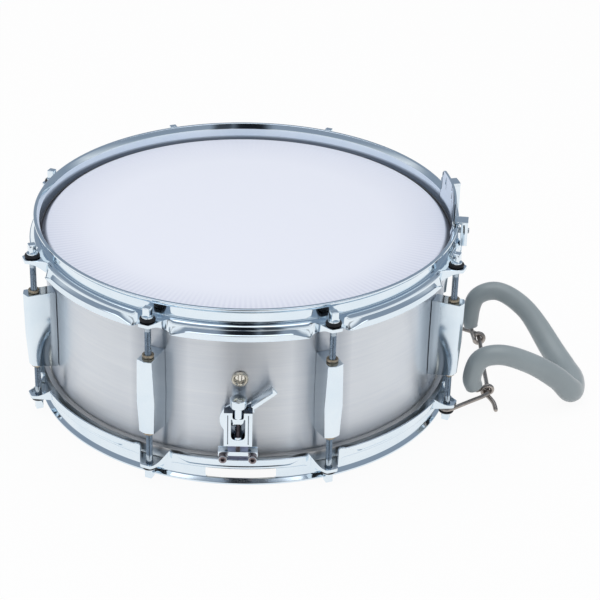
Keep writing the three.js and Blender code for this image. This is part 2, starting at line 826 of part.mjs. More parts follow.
function makeStrap(name, side, centre, topEnd) {
  const middle = (strapBack + strapFront) / 2;
  const route = [
    [middle, topEnd],
    [middle, shelfUnder - strapRoute.turnBelow],
    [middle - strapRoute.turnIn, hoop.shelfDepth - strapRoute.turnBelow],
    [film.flatRadius - strapRoute.meetInset, snareMiddle],
    [snares.plateTo + gap, snareMiddle],
  ];
  const half = strap.thick / 2;
  const normals = route.map((point, i) => {
    const before = route[Math.max(i - 1, 0)];
    const after = route[Math.min(i + 1, route.length - 1)];
    const step = new THREE.Vector2(after[0] - before[0], after[1] - before[1]).normalize();
    return [step.y, -step.x];
  });
  const edge = (sign) => route.map(([y, z], i) => {
    const [across, up] = normals[i];
    return [y + sign * half * across, z + sign * half * up];
  });
  const outline = [...edge(1), ...edge(-1).reverse()];
  const geometry = raised(outline, [-strap.half, strap.half]);
  const frame = new THREE.Matrix4().makeBasis(
    new THREE.Vector3(0, side, 0),
    new THREE.Vector3(0, 0, 1),
    new THREE.Vector3(1, 0, 0),
  );
  geometry.applyMatrix4(frame);
  geometry.translate(centre, 0, 0);
  add(name, geometry, ribbon);
}

// Leg rest bracket: a wire that loops round two bottom rods, under their ears
function makeBracket() {
  const level = hoop.shelfDepth - gap - bracket.wire;
  const loop = rod.shank + bracket.loopSlack + bracket.wire;
  const rodX = rod.circle * Math.cos(lugSpacing / 2);
  const rodY = -rod.circle * Math.sin(lugSpacing / 2);
  const halfPath = (cross) => {
    const toCorner = new THREE.Vector2(bracket.crossX - rodX, -cross - rodY);
    const leave = toCorner.angle() - Math.acos(loop / toCorner.length());
    const loopCount = 12;
    const path = Array.from({ length: loopCount + 1 }, (_, i) => {
      const angle = leave - bracket.loopSweep * degree * (1 - i / loopCount);
      return new THREE.Vector3(rodX + loop * Math.cos(angle), rodY + loop * Math.sin(angle), level);
    });
    const corner = new THREE.Vector3(bracket.crossX, -cross, level);
    const armEnd = path[loopCount];
    const back = armEnd.clone().sub(corner).setLength(bracket.cornerBend);
    const bend = corner.clone().addScaledVector(back, bracket.cornerShare);
    bend.y += bracket.cornerShare * bracket.cornerBend;
    path.push(armEnd.clone().lerp(corner, 0.5));
    path.push(corner.clone().add(back));
    path.push(bend);
    path.push(new THREE.Vector3(bracket.crossX, -cross + bracket.cornerBend, level));
    return path;
  };
  const mirrored = (point) => new THREE.Vector3(point.x, -point.y, point.z);
  const far = halfPath(bracket.crossFar).map(mirrored).reverse();
  const middle = new THREE.Vector3(bracket.crossX, 0, level);
  const near = halfPath(bracket.crossNear);
  const curve = new THREE.CatmullRomCurve3([...near, middle, ...far], false, 'centripetal');
  add('leg_rest_bracket', tube(curve, bracket.wire, 0, 7, 70), steelWire);
}

// Leg rest bow: one wire from eye to eye, with a rubber sleeve on its free stretch
const crossLevel = hoop.shelfDepth - gap - bracket.wire;
const bowFloor = sleeve.radius + bow.floorGap;
const bowPoint = ([out, across, up]) => new THREE.Vector3(
  bracket.crossX + out * bow.reach,
  across * bow.half,
  bowFloor + up * (bow.top - bowFloor),
);
const bowRoute = bowRouteShares.map(bowPoint);
const [bowNearLead, bowFarLead] = bowLeadShares.map(bowPoint);

const eyeStep = 30;

function eyePoints(start, side, sweep) {
  const radius = bracket.wire + bow.eyeSlack + bow.wire;
  const count = Math.round(sweep / eyeStep);
  return Array.from({ length: count + 1 }, (_, i) => {
    const angle = Math.PI + (sweep * degree * i) / count;
    const turns = (sweep * degree * i) / (count * turn);
    return new THREE.Vector3(
      bracket.crossX + radius * Math.cos(angle),
      side * (start + bow.eyePitch * turns),
      crossLevel + radius * Math.sin(angle),
    );
  });
}

function makeBow() {
  const near = eyePoints(bracket.crossNear - bow.eyeInset, -1, bow.nearSweep).reverse();
  const lastNear = near[0];
  const tailEnd = new THREE.Vector3(
    bracket.crossX + bow.tail.out,
    lastNear.y - bow.tail.along,
    crossLevel - bow.tail.drop,
  );
  const tailMiddle = lastNear.clone().lerp(tailEnd, bow.tail.bendShare);
  tailMiddle.x += bow.wire;
  const far = eyePoints(bracket.crossFar - bow.eyeInset, 1, bow.farSweep);
  const before = [tailEnd, tailMiddle, ...near, bowNearLead];
  const points = [...before, ...bowRoute, bowFarLead, ...far];
  const curve = new THREE.CatmullRomCurve3(points, false, 'centripetal');
  add('leg_rest_bow', tube(curve, bow.wire, 0, 6, 120), steelWire);

  const sampleCount = 80;
  const from = before.length / (points.length - 1);
  const span = (bowRoute.length - 1) / (points.length - 1);
  const sample = (_, i) => curve.getPoint(from + (span * i) / sampleCount);
  const covered = Array.from({ length: sampleCount + 1 }, sample);
  const sleeveCurve = new THREE.CatmullRomCurve3(covered, false, 'centripetal');
  add('leg_rest_sleeve', tube(sleeveCurve, sleeve.radius, sleeve.bore, 10, 46), greyRubber);
}

// Sling bracket: a curved plate inside the hoop, and two hooks over the lip with a set screw each
function makeSlingBracket() {
  const low = wallInner - sling.hoopGap;
  const high = low + sling.lean;
  const bottom = playingHeight + sling.headGap;
  const top = drumHeight + sling.above;
  const bendLow = drumHeight - hoop.lipFlare;
  const ring = solid(spun([
    [low, bottom],
    [low, bendLow],
    [high, drumHeight],
    [high, top],
    [high - sling.thick, top],
    [high - sling.thick, drumHeight],
    [low - sling.thick, bendLow],
    [low - sling.thick, bottom],
  ]));
  const past = high + overrun;
  const edgePoint = (angle) => [past * Math.sin(angle * degree), -past * Math.cos(angle * degree)];
  const wedgeOutline = [[0, 0], edgePoint(sling.from), edgePoint(sling.to)];
  const wedge = solid(raised(wedgeOutline, [bottom - overrun, top + overrun]));
  const reach = low - sling.thick - overrun;
  const startAlong = -high * Math.cos(sling.from * degree);
  const endAlong = -high * Math.cos(sling.to * degree);
  const across = (points) => {
    const geometry = raised(points, [reach, past]);
    return solid(geometry.applyMatrix4(new THREE.Matrix4().makeBasis(
      new THREE.Vector3(0, 1, 0),
      new THREE.Vector3(0, 0, 1),
      new THREE.Vector3(1, 0, 0),
    )));
  };
  const slope = across([
    [startAlong - overrun, top - sling.slopeDrop],
    [startAlong, top - sling.slopeDrop],
    [startAlong + sling.slopeRun, top + gap],
    [startAlong - overrun, top + gap],
  ]);
  const corner = across([
    [endAlong + overrun, top - sling.corner],
    [endAlong + overrun, top + gap],
    [endAlong - sling.corner, top + gap],
    [endAlong, top - sling.corner],
  ]);
  const slotZ = [drumHeight + sling.slot.bottom, drumHeight + sling.slot.top];
  const slotBlock = block([-sling.slot.half, sling.slot.half], [-past, -reach], slotZ);
  const slot = turned(slotBlock, sling.slot.angle * degree);
  const holes = [sling.holes.low, sling.holes.high].map((rise) => {
    const hole = along(sling.holes.radius, 0, [-past, -reach], drumHeight + rise, 12);
    return turned(hole, sling.holes.angle * degree);
  });
  const cuts = [slope, corner, slot, ...holes];
  let whole = cuts.reduce((rest, tool) => rest.subtract(tool), ring.intersect(wedge));

  const legInner = wallOuter + sling.leg.offWall;
  const legOuter = legInner + sling.leg.thick;
  const bridgeFrom = high - sling.thick / 2;
  const screwZ = drumHeight - slingScrew.drop;
  const screwHole = along(slingScrew.hole, 0, [-legOuter - overrun, -legInner + gap], screwZ, 12);
  const screwTip = wallOuter + slingScrew.wallGap;
  const screwEnd = legOuter + slingScrew.proud;
  const shank = along(slingScrew.radius, 0, [-screwEnd, -screwTip], screwZ, 12);
  const cut = block(
    [-slingScrew.radius - overrun, slingScrew.radius + overrun],
    [-screwEnd - overrun, -screwEnd + slingScrew.slotDeep],
    [screwZ - slingScrew.slotWidth / 2, screwZ + slingScrew.slotWidth / 2],
  );
  sling.hooks.forEach(({ angle, rise }, i) => {
    const level = drumHeight + rise;
    const bridgeTop = level + sling.bridge.thick;
    const bridgeX = [-sling.bridge.half, sling.bridge.half];
    const bridge = block(bridgeX, [-legOuter, -bridgeFrom], [level, bridgeTop]);
    const legZ = [drumHeight - sling.leg.down, bridgeTop];
    const leg = block([-sling.leg.half, sling.leg.half], [-legOuter, -legInner], legZ);
    whole = whole.add(turned(bridge.add(leg).subtract(screwHole), angle * degree));
    add(`sling_screw_${i === 0 ? 'near' : 'far'}`, turned(shank.subtract(cut), angle * degree), chrome);
  });
  add('sling_bracket', whole, chrome);
}

// Assembly
makeShell();
makeVentGrommet();
makeHead('batter_head', 'batter_flesh_hoop', true);
makeHead('snare_head', 'snare_flesh_hoop', false);
turnOver(makeHoop('top_hoop', false));
makeHoop('bottom_hoop', true);
makeLugs();
makeRods();
makeBase();
makeLever();
makeLeverPin();
makeCarriage();
makeKnob();
makeClamp();
makeButt();
makeSnares();
makeStrap('snare_strap_front', -1, strainer.offset, strap.topEnd);
makeStrap('snare_strap_rear', 1, 0, butt.jawTop);
makeBracket();
makeBow();
makeSlingBracket();

export default drum;
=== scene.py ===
# %% [markdown]
# # A marching snare drum
#
# The drum is an aluminium shell between two chromed, pressed steel hoops. Eight faceted lugs take
# sixteen square-headed rods. A side-throw strainer holds the snares at the front, and a sleeved
# wire leg rest and a sling bracket sit on the right. The solids and the joints come from the CAD
# model, so this script gives each solid a finer mesh and a finish, in the same place.

import math

import bmesh
import bpy
from mathutils import Matrix, Vector


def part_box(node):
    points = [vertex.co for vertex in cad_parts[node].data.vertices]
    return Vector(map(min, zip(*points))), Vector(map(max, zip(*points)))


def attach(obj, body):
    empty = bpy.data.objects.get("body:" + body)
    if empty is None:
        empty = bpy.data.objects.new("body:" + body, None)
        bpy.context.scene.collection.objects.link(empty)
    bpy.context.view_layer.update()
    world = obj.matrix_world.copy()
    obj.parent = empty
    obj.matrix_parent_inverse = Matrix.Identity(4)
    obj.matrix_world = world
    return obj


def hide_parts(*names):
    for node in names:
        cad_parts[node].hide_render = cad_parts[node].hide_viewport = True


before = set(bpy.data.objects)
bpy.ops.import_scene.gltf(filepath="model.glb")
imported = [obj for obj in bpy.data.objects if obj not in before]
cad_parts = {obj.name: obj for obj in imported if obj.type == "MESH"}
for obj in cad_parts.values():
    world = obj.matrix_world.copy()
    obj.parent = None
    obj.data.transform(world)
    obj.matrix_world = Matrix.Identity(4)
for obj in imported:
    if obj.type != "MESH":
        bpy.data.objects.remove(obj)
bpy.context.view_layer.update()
scene = bpy.context.scene

MM = 0.001
floor_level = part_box("bottom_hoop")[0].z
drum_height = (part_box("top_hoop")[1].z - floor_level) / MM
print("drum height in mm:", round(drum_height, 2))

# %% [markdown]
# ## Camera
#
# The photograph was taken from a little over 28 degrees above the floor with a long lens. The
# drum sits low and left in the picture, which is a lens shift and not a turn of the camera, so
# the shift is set on the camera and the view still looks at the drum's own middle.

# %% Camera
PHOTO_SIDE = 600
SENSOR = 36.0
FOCAL_PIXELS = 1924.514
DISTANCE = 1.737227
ELEVATION = math.radians(28.494)
AZIMUTH = math.radians(1.116)
ROLL = math.radians(0.727)
CENTRE_SHIFT = (-54.691, -9.3)
TARGET = Vector((0, 0, floor_level + 0.084))

back = Vector((
    math.sin(AZIMUTH) * math.cos(ELEVATION),
    -math.cos(AZIMUTH) * math.cos(ELEVATION),
    math.sin(ELEVATION),
))
right = Vector((math.cos(AZIMUTH), math.sin(AZIMUTH), 0))
up = back.cross(right)
rolled_right = right * math.cos(ROLL) + up * math.sin(ROLL)
rolled_up = up * math.cos(ROLL) - right * math.sin(ROLL)

camera_data = bpy.data.cameras.new("camera")
camera_data.sensor_width = SENSOR
camera_data.lens = FOCAL_PIXELS * SENSOR / PHOTO_SIDE
camera_data.shift_x = -CENTRE_SHIFT[0] / PHOTO_SIDE
camera_data.shift_y = CENTRE_SHIFT[1] / PHOTO_SIDE
camera = bpy.data.objects.new("camera", camera_data)
turned = Matrix((rolled_right, rolled_up, back)).transposed().to_4x4()
camera.matrix_world = Matrix.Translation(TARGET + back * DISTANCE) @ turned
scene.collection.objects.link(camera)
scene.camera = camera
print("focal length in mm:", round(camera_data.lens, 2))

# %% [markdown]
# ## Shape helpers
#
# Everything here is measured in millimetres above the floor while it is being shaped. The last
# helper, `finish_piece`, turns a mesh into metres in the model's frame, shades it smooth with
# sharp creases where faces meet at an angle, and hides the solids it stands for.

# %% Profiles and spun forms
FULL_TURN = 2 * math.pi
FINE = 0.0005


def rounded(points, radius=0.4, segments=3, closed=True):
    """Rounds the corners of a profile. A point may bring its own radius as a third number."""
    out = []
    count = len(points)
    for i, point in enumerate(points):
        here = Vector(point[:2])
        size = point[2] if len(point) > 2 else radius
        at_end = not closed and i in (0, count - 1)
        if size <= 0 or at_end:
            out.append(here)
            continue
        before = Vector(points[i - 1][:2]) - here
        after = Vector(points[(i + 1) % count][:2]) - here
        angle = before.angle(after)
        reach = min(size / math.tan(angle / 2), before.length * 0.49, after.length * 0.49)
        start = here + before.normalized() * reach
        end = here + after.normalized() * reach
        for step in range(segments + 1):
            t = step / segments
            out.append(start * (1 - t) ** 2 + here * 2 * t * (1 - t) + end * t * t)
    return out


def spun(profile, steps=96, closed=True):
    """A profile of (radius, height) points spun a full turn about Z."""
    bm = bmesh.new()
    verts = [bm.verts.new((p[0], 0, p[1])) for p in profile]
    edges = [bm.edges.new(pair) for pair in zip(verts, verts[1:])]
    if closed:
        edges.append(bm.edges.new((verts[-1], verts[0])))
    bmesh.ops.spin(
        bm, geom=verts + edges, cent=(0, 0, 0), axis=(0, 0, 1),
        angle=FULL_TURN, steps=steps, use_merge=True,
    )
    bmesh.ops.remove_doubles(bm, verts=bm.verts, dist=FINE)
    bmesh.ops.recalc_face_normals(bm, faces=bm.faces)
    return bm


# %% Blocks, raised outlines and joined forms
def moved(bm, matrix):
    bmesh.ops.transform(bm, matrix=matrix, verts=bm.verts)
    return bm


def eased(bm, size, segments=2, sharper_than=30):
    """Bevels every edge that turns by more than a given angle."""
    limit = math.radians(sharper_than)
    sharp = [e for e in bm.edges if e.is_manifold and e.calc_face_angle(0) > limit]
    bmesh.ops.bevel(
        bm, geom=sharp, offset=size, segments=segments, profile=0.5,
        affect="EDGES", material=-1, clamp_overlap=True,
    )
    return bm


def block(x, y, z, ease=0.4, segments=2):
    bm = bmesh.new()
    bmesh.ops.create_cube(bm, size=1)
    bmesh.ops.scale(bm, vec=(x[1] - x[0], y[1] - y[0], z[1] - z[0]), verts=bm.verts)
    middle = ((x[0] + x[1]) / 2, (y[0] + y[1]) / 2, (z[0] + z[1]) / 2)
    bmesh.ops.translate(bm, vec=middle, verts=bm.verts)
    return eased(bm, ease, segments) if ease else bm


def raised(outline, depth):
    """An outline in X and Y raised along Z, from depth[0] to depth[1]."""
    bm = bmesh.new()
    face = bm.faces.new([bm.verts.new((p[0], p[1], depth[0])) for p in outline])
    made = bmesh.ops.extrude_face_region(bm, geom=[face])["geom"]
    top = [v for v in made if isinstance(v, bmesh.types.BMVert)]
    bmesh.ops.translate(bm, vec=(0, 0, depth[1] - depth[0]), verts=top)
    bmesh.ops.recalc_face_normals(bm, faces=bm.faces)
    return bm


def rod_along(axis, radius, centre, reach, sides=32, ease=0.3):
    """A round bar along Y or Z with eased ends, from reach[0] to reach[1]."""
    profile = rounded([(0, reach[0], 0), (radius, reach[0]), (radius, reach[1]), (0, reach[1], 0)],
                      ease, 2, closed=False)
    bm = spun(profile, sides, closed=False)
    if axis == "Y":
        moved(bm, Matrix.Rotation(-math.pi / 2, 4, "X"))
    return moved(bm, Matrix.Translation(centre))


def joined(parts):
    whole = bmesh.new()
    for part in parts:
        mesh = bpy.data.meshes.new("part")
        part.to_mesh(mesh)
        part.free()
        whole.from_mesh(mesh)
        bpy.data.meshes.remove(mesh)
    return whole


# %% [markdown]
# A hole is cut with a Boolean modifier. The body and the tools live as objects only for as long
# as the cut takes, and what comes back is again a plain mesh to go on shaping.

# %% Cutting
def carved(bm, tools, operation="DIFFERENCE", crossing=False):
    objects = []
    for name, source in (("body", bm), ("tool", joined(tools))):
        mesh = bpy.data.meshes.new(name)
        source.to_mesh(mesh)
        source.free()
        objects.append(bpy.data.objects.new(name, mesh))
        scene.collection.objects.link(objects[-1])
    body, tool = objects
    cut = body.modifiers.new("cut", "BOOLEAN")
    cut.operation = operation
    cut.object = tool
    cut.solver = "EXACT"
    cut.use_self = crossing
    bpy.context.view_layer.update()
    graph = bpy.context.evaluated_depsgraph_get()
    result = bpy.data.meshes.new_from_object(body.evaluated_get(graph))
    out = bmesh.new()
    out.from_mesh(result)
    for made in objects:
        mesh = made.data
        bpy.data.objects.remove(made)
        bpy.data.meshes.remove(mesh)
    bpy.data.meshes.remove(result)
    bmesh.ops.remove_doubles(out, verts=out.verts, dist=FINE)
    bmesh.ops.dissolve_limit(
        out, angle_limit=math.radians(0.1), verts=out.verts, edges=out.edges,
    )
    return out


# %% [markdown]
# A wire or a sleeve is a round edge carried along a path by extruding it from station to station.
# The path runs through its points on a centripetal Catmull-Rom curve, which passes through every
# point without loops, so the bent wire keeps the lines of the solid wire.

# %% Paths and swept sections
def curve_through(points, steps=8):
    points = [Vector(p) for p in points]
    ends = [points[0] * 2 - points[1]] + points + [points[-1] * 2 - points[-2]]
    out = []
    for a, b, c, d in zip(ends, ends[1:], ends[2:], ends[3:]):
        gaps = [max((q - p).length, FINE) ** 0.5 for p, q in ((a, b), (b, c), (c, d))]
        first = ((b - a) / gaps[0] - (c - a) / (gaps[0] + gaps[1]) + (c - b) / gaps[1]) * gaps[1]
        last = ((c - b) / gaps[1] - (d - b) / (gaps[1] + gaps[2]) + (d - c) / gaps[2]) * gaps[1]
        for step in range(steps):
            t = step / steps
            cubic = (2 * b - 2 * c + first + last) * t ** 3
            square = (3 * c - 3 * b - 2 * first - last) * t ** 2
            out.append(b + first * t + square + cubic)
    out.append(points[-1])
    return out


def tangents(path):
    out = []
    for i in range(len(path)):
        low, high = i, i
        while low > 0 and (path[i] - path[low]).length < FINE:
            low -= 1
        while high < len(path) - 1 and (path[high] - path[i]).length < FINE:
            high += 1
        out.append((path[high] - path[low]).normalized())
    return out


def swept(path, radii, sides=20):
    bm = bmesh.new()
    bmesh.ops.create_circle(bm, segments=sides, radius=1)
    ring, edges = list(bm.verts), list(bm.edges)
    ways = tangents(path)
    turn = Vector((0, 0, 1)).rotation_difference(ways[0])
    places = []
    for i, (point, radius) in enumerate(zip(path, radii)):
        if i:
            turn = ways[i - 1].rotation_difference(ways[i]) @ turn
        sized = turn.to_matrix().to_4x4() @ Matrix.Scale(radius, 4)
        places.append(Matrix.Translation(point) @ sized)
    bmesh.ops.transform(bm, matrix=places[0], verts=ring)
    for before, here in zip(places, places[1:]):
        made = bmesh.ops.extrude_edge_only(bm, edges=edges)["geom"]
        ring = [v for v in made if isinstance(v, bmesh.types.BMVert)]
        fresh = set(ring)
        edges = [e for e in made if isinstance(e, bmesh.types.BMEdge) and set(e.verts) <= fresh]
        bmesh.ops.transform(bm, matrix=here @ before.inverted(), verts=ring)
    bmesh.ops.holes_fill(bm, edges=[e for e in bm.edges if e.is_boundary], sides=0)
    bmesh.ops.recalc_face_normals(bm, faces=bm.faces)
    return bm


# %% [markdown]
# Every piece goes through one door. It is scaled to metres and lowered to the frame, the solids it
# stands for are hidden, and it is hung on an empty for the body that carries it.

# %% Finishing a piece
triangle_count = 0


def finish_piece(name, bm, finish, body, nodes=(), slot=None, crease=32, inner=None):
    global triangle_count
    volume = bm.calc_volume(signed=True)
    moved(bm, Matrix.Translation((0, 0, floor_level)) @ Matrix.Scale(MM, 4))
    mesh = bpy.data.meshes.new(name)
    bm.to_mesh(mesh)
    bm.free()
    mesh.shade_smooth()
    mesh.set_sharp_from_angle(angle=math.radians(crease))
    mesh.materials.append(finish)
    if inner:
        mesh.materials.append(inner)
    obj = bpy.data.objects.new(name, mesh)
    scene.collection.objects.link(obj)
    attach(obj, body)
    if nodes:
        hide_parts(*nodes)
    triangles = sum(len(p.vertices) - 2 for p in mesh.polygons)
    triangle_count += triangles
    print(f"{name}: {triangles} triangles, {volume:.0f} cubic mm")
    return obj


# %% [markdown]
# ## Finishes
#
# Two shader groups are shared. `handled` gives the soft clouds of polish and fingers that every
# plated surface has: it moves the colour and the roughness a little, and adds fine scratches.
# `brushed` draws the fine level lines that a lathe leaves round an aluminium shell. Both read
# Object coordinates, so nothing slides when a piece moves.

# %% Shader groups
def new_group(name, inputs, outputs):
    group = bpy.data.node_groups.new(name, "ShaderNodeTree")
    for label, kind, value in inputs:
        socket = group.interface.new_socket(name=label, in_out="INPUT", socket_type=kind)
        socket.default_value = value
    for label, kind in outputs:
        group.interface.new_socket(name=label, in_out="OUTPUT", socket_type=kind)
    return group, group.nodes.new("NodeGroupInput"), group.nodes.new("NodeGroupOutput")


def feed(tree, value, socket):
    """Links a socket to an output, or sets it to a plain value."""
    if isinstance(value, bpy.types.NodeSocket):
        tree.links.new(value, socket)
    else:
        socket.default_value = value


def drive(tree, shader, **values):
    """Feeds a shader's inputs. An underscore stands for a space in an input's name."""
    for key, value in values.items():
        feed(tree, value, shader.inputs[key.replace("_", " ")])


def place_in(tree, kind="Object"):
    return tree.nodes.new("ShaderNodeTexCoord").outputs[kind]


def axes_of(tree, where):
    parts = tree.nodes.new("ShaderNodeSeparateXYZ")
    tree.links.new(where, parts.inputs[0])
    return [parts.outputs[axis] for axis in "XYZ"]


def math_node(tree, operation, *values):
    made = tree.nodes.new("ShaderNodeMath")
    made.operation = operation
    for value, socket in zip(values, made.inputs):
        feed(tree, value, socket)
    return made.outputs[0]


def times(tree, first, second):
    return math_node(tree, "MULTIPLY", first, second)


def length_of(tree, x, y):
    square = math_node(tree, "ADD", times(tree, x, x), times(tree, y, y))
    return math_node(tree, "SQRT", square)


def mixed(tree, factor, first, second):
    """A mix of two colours. The numbers are the colour sockets of the Mix node."""
    made = tree.nodes.new("ShaderNodeMix")
    made.data_type = "RGBA"
    for index, value in ((0, factor), (6, first), (7, second)):
        feed(tree, value, made.inputs[index])
    return made.outputs[2]


def spread_over(tree, value, low, high, out_low=0.0, out_high=1.0):
    """Maps a value's range onto another, and holds it at both ends."""
    made = tree.nodes.new("ShaderNodeMapRange")
    tree.links.new(value, made.inputs["Value"])
    made.inputs["From Min"].default_value = low
    made.inputs["From Max"].default_value = high
    made.inputs["To Min"].default_value = out_low
    made.inputs["To Max"].default_value = out_high
    return made.outputs["Result"]


def stretched(tree, scale=(1, 1, 1)):
    """Object coordinates, stretched by a scale for each axis."""
    mapping = tree.nodes.new("ShaderNodeMapping")
    mapping.inputs["Scale"].default_value = scale
    tree.links.new(place_in(tree), mapping.inputs["Vector"])
    return mapping.outputs["Vector"]


def noise(tree, where, scale, detail=2.0, roughness=0.5):
    made = tree.nodes.new("ShaderNodeTexNoise")
    made.inputs["Detail"].default_value = detail
    made.inputs["Roughness"].default_value = roughness
    tree.links.new(where, made.inputs["Vector"])
    feed(tree, scale, made.inputs["Scale"])
    return made.outputs["Fac"]


FLOAT, COLOUR = "NodeSocketFloat", "NodeSocketColor"
WHITE = (1, 1, 1, 1)

handled, taken, given = new_group(
    "handled",
    [("Colour", COLOUR, WHITE), ("Shade", COLOUR, WHITE), ("Clouds", FLOAT, 30.0),
     ("Roughness", FLOAT, 0.1), ("Spread", FLOAT, 0.05), ("Scratches", FLOAT, 700.0)],
    [("Colour", COLOUR), ("Roughness", FLOAT), ("Height", FLOAT)],
)
clouds = noise(handled, stretched(handled), taken.outputs["Clouds"], 4.0, 0.6)
cloud_mask = spread_over(handled, clouds, 0.35, 0.7)
scratch = noise(handled, stretched(handled, (1, 1, 0.12)), taken.outputs["Scratches"], 3.0, 0.7)
handled.links.new(
    mixed(handled, cloud_mask, taken.outputs["Colour"], taken.outputs["Shade"]),
    given.inputs["Colour"],
)
rough_cloud = times(handled, cloud_mask, taken.outputs["Spread"])
rough_scratch = times(handled, scratch, taken.outputs["Spread"])
rough = math_node(handled, "ADD", taken.outputs["Roughness"], rough_cloud)
handled.links.new(math_node(handled, "ADD", rough, rough_scratch), given.inputs["Roughness"])
handled.links.new(scratch, given.inputs["Height"])

brushed, taken, given = new_group(
    "brushed",
    [("Colour", COLOUR, WHITE), ("Shade", COLOUR, WHITE), ("Lines", FLOAT, 1.0),
     ("Roughness", FLOAT, 0.3), ("Spread", FLOAT, 0.1)],
    [("Colour", COLOUR), ("Roughness", FLOAT), ("Height", FLOAT)],
)
fine_lines = noise(brushed, stretched(brushed, (9, 9, 2600)), 1.0, 3.0, 0.7)
broad_lines = noise(brushed, stretched(brushed, (14, 14, 420)), 1.0, 4.0, 0.65)
patches = noise(brushed, stretched(brushed), 16.0, 3.0, 0.55)
line_sum = math_node(brushed, "ADD", fine_lines, broad_lines)
line_mask = spread_over(brushed, line_sum, 0.7, 1.3)
patch_mask = spread_over(brushed, patches, 0.35, 0.7)
shade_mask = times(brushed, line_mask, taken.outputs["Lines"])
shade_total = math_node(brushed, "MULTIPLY_ADD", patch_mask, 0.3, shade_mask)
brushed.links.new(
    mixed(brushed, shade_total, taken.outputs["Colour"], taken.outputs["Shade"]),
    given.inputs["Colour"],
)
line_rough = times(brushed, line_mask, taken.outputs["Spread"])
brushed.links.new(
    math_node(brushed, "ADD", taken.outputs["Roughness"], line_rough), given.inputs["Roughness"],
)
brushed.links.new(line_sum, given.inputs["Height"])
print("shader groups:", [g.name for g in bpy.data.node_groups])


# %% Metals
def new_finish(name):
    made = bpy.data.materials.new(name)
    made.use_nodes = True
    return made, made.node_tree, made.node_tree.nodes["Principled BSDF"]


def grouped(tree, group, **values):
    made = tree.nodes.new("ShaderNodeGroup")
    made.node_tree = group
    for key, value in values.items():
        made.inputs[key].default_value = value
    return made


def bumped(tree, height, strength, distance):
    made = tree.nodes.new("ShaderNodeBump")
    made.inputs["Strength"].default_value = strength
    made.inputs["Distance"].default_value = distance
    tree.links.new(height, made.inputs["Height"])
    return made.outputs["Normal"]


def metal(name, group, bump, bump_depth, colour, shade, **values):
    finish, tree, shader = new_finish(name)
    source = grouped(tree, group, Colour=(*colour, 1), Shade=(*shade, 1), **values)
    drive(
        tree, shader, Base_Color=source.outputs["Colour"], Roughness=source.outputs["Roughness"],
        Normal=bumped(tree, source.outputs["Height"], bump, bump_depth), Metallic=1.0,
    )
    return finish, tree, shader


def plated(name, bump, bump_depth, colour, shade, clouds, roughness, spread, scratches):
    return metal(
        name, handled, bump, bump_depth, colour, shade,
        Clouds=clouds, Roughness=roughness, Spread=spread, Scratches=scratches,
    )


BRIGHT_PLATE = (0.03, 0.00002, (0.79, 0.87, 0.93), (0.72, 0.82, 0.9), 26.0, 0.045, 0.04, 900.0)
chrome, _, _ = plated("chrome", *BRIGHT_PLATE)
shell_metal, shell_tree, shell_shader = metal(
    "brushed_aluminium", brushed, 0.25, 0.00003, (0.93, 0.955, 0.98), (0.81, 0.85, 0.91),
    Lines=0.5, Roughness=0.36, Spread=0.05,
)
plain_aluminium, _, _ = metal(
    "plain_aluminium", brushed, 0.2, 0.00003, (0.68, 0.66, 0.64), (0.56, 0.54, 0.52),
    Lines=0.5, Roughness=0.28, Spread=0.14,
)
painted_shade_chrome, nickel, nut_metal, zinc, rod_steel, wire_steel, dark_steel_and_shade = (
    plated(*values)[0] for values in (
        # shadowed_chrome is painted shade, for the strainer's base plate and the carriage's
        # hollows.
        ("shadowed_chrome", 0.04, 0.00002, (0.22, 0.26, 0.31), (0.12, 0.14, 0.18),
         90.0, 0.14, 0.08, 900.0),
        ("nickel", 0.05, 0.00003, (0.66, 0.62, 0.53), (0.5, 0.46, 0.38),
         180.0, 0.16, 0.12, 1500.0),
        ("dull_brass", 0.08, 0.00004, (0.5, 0.42, 0.3), (0.3, 0.25, 0.2),
         260.0, 0.28, 0.14, 1400.0),
        ("zinc_plate", 0.06, 0.00003, (0.62, 0.66, 0.7), (0.44, 0.48, 0.52),
         160.0, 0.2, 0.16, 1300.0),
        ("threaded_steel", 0.06, 0.00003, (0.52, 0.6, 0.67), (0.36, 0.43, 0.5),
         140.0, 0.14, 0.12, 1300.0),
        ("spring_wire", 0.12, 0.00005, (0.47, 0.43, 0.4), (0.32, 0.29, 0.27),
         120.0, 0.26, 0.16, 1100.0),
        # dark_steel_and_shade also serves as painted shade in the screw sockets and behind their
        # heads.
        ("dark_steel_and_shade", 0.1, 0.00004, (0.3, 0.25, 0.26), (0.16, 0.13, 0.13),
         220.0, 0.24, 0.16, 1300.0),
    )
)


def chromed(name, bm, body, node, **more):
    """Finishes a chromed piece that stands for one solid."""
    return finish_piece(name, bm, chrome, body, [node], "chrome", **more)


# %% [markdown]
# The soft finishes are the milky head film, the nearly clear film of the snare side, the moulded
# nylon washer, the grey rubber sleeve and the woven tape that pulls the snares. The milky film has
# a faint comb of lines near its rim, where it was drawn down over the flesh hoop. Painted shade
# makes the comb stronger on the front half, darkens the film towards its rim, and turns its
# outermost 2 mm, where it folds down, near black. The rubber carries a fine grain.

# %% Film, nylon, rubber and tape
def radial(tree):
    """The distance from the drum's axis and the angle round it, from Object coordinates."""
    x, y, _ = axes_of(tree, place_in(tree))
    return length_of(tree, x, y), math_node(tree, "ARCTAN2", x, y)


def painted_over(tree, shader, mask, colour):
    """Lays a colour over the one that a finish has, as far as a mask says."""
    below = shader.inputs["Base Color"].links[0].from_socket
    drive(tree, shader, Base_Color=mixed(tree, mask, below, colour))


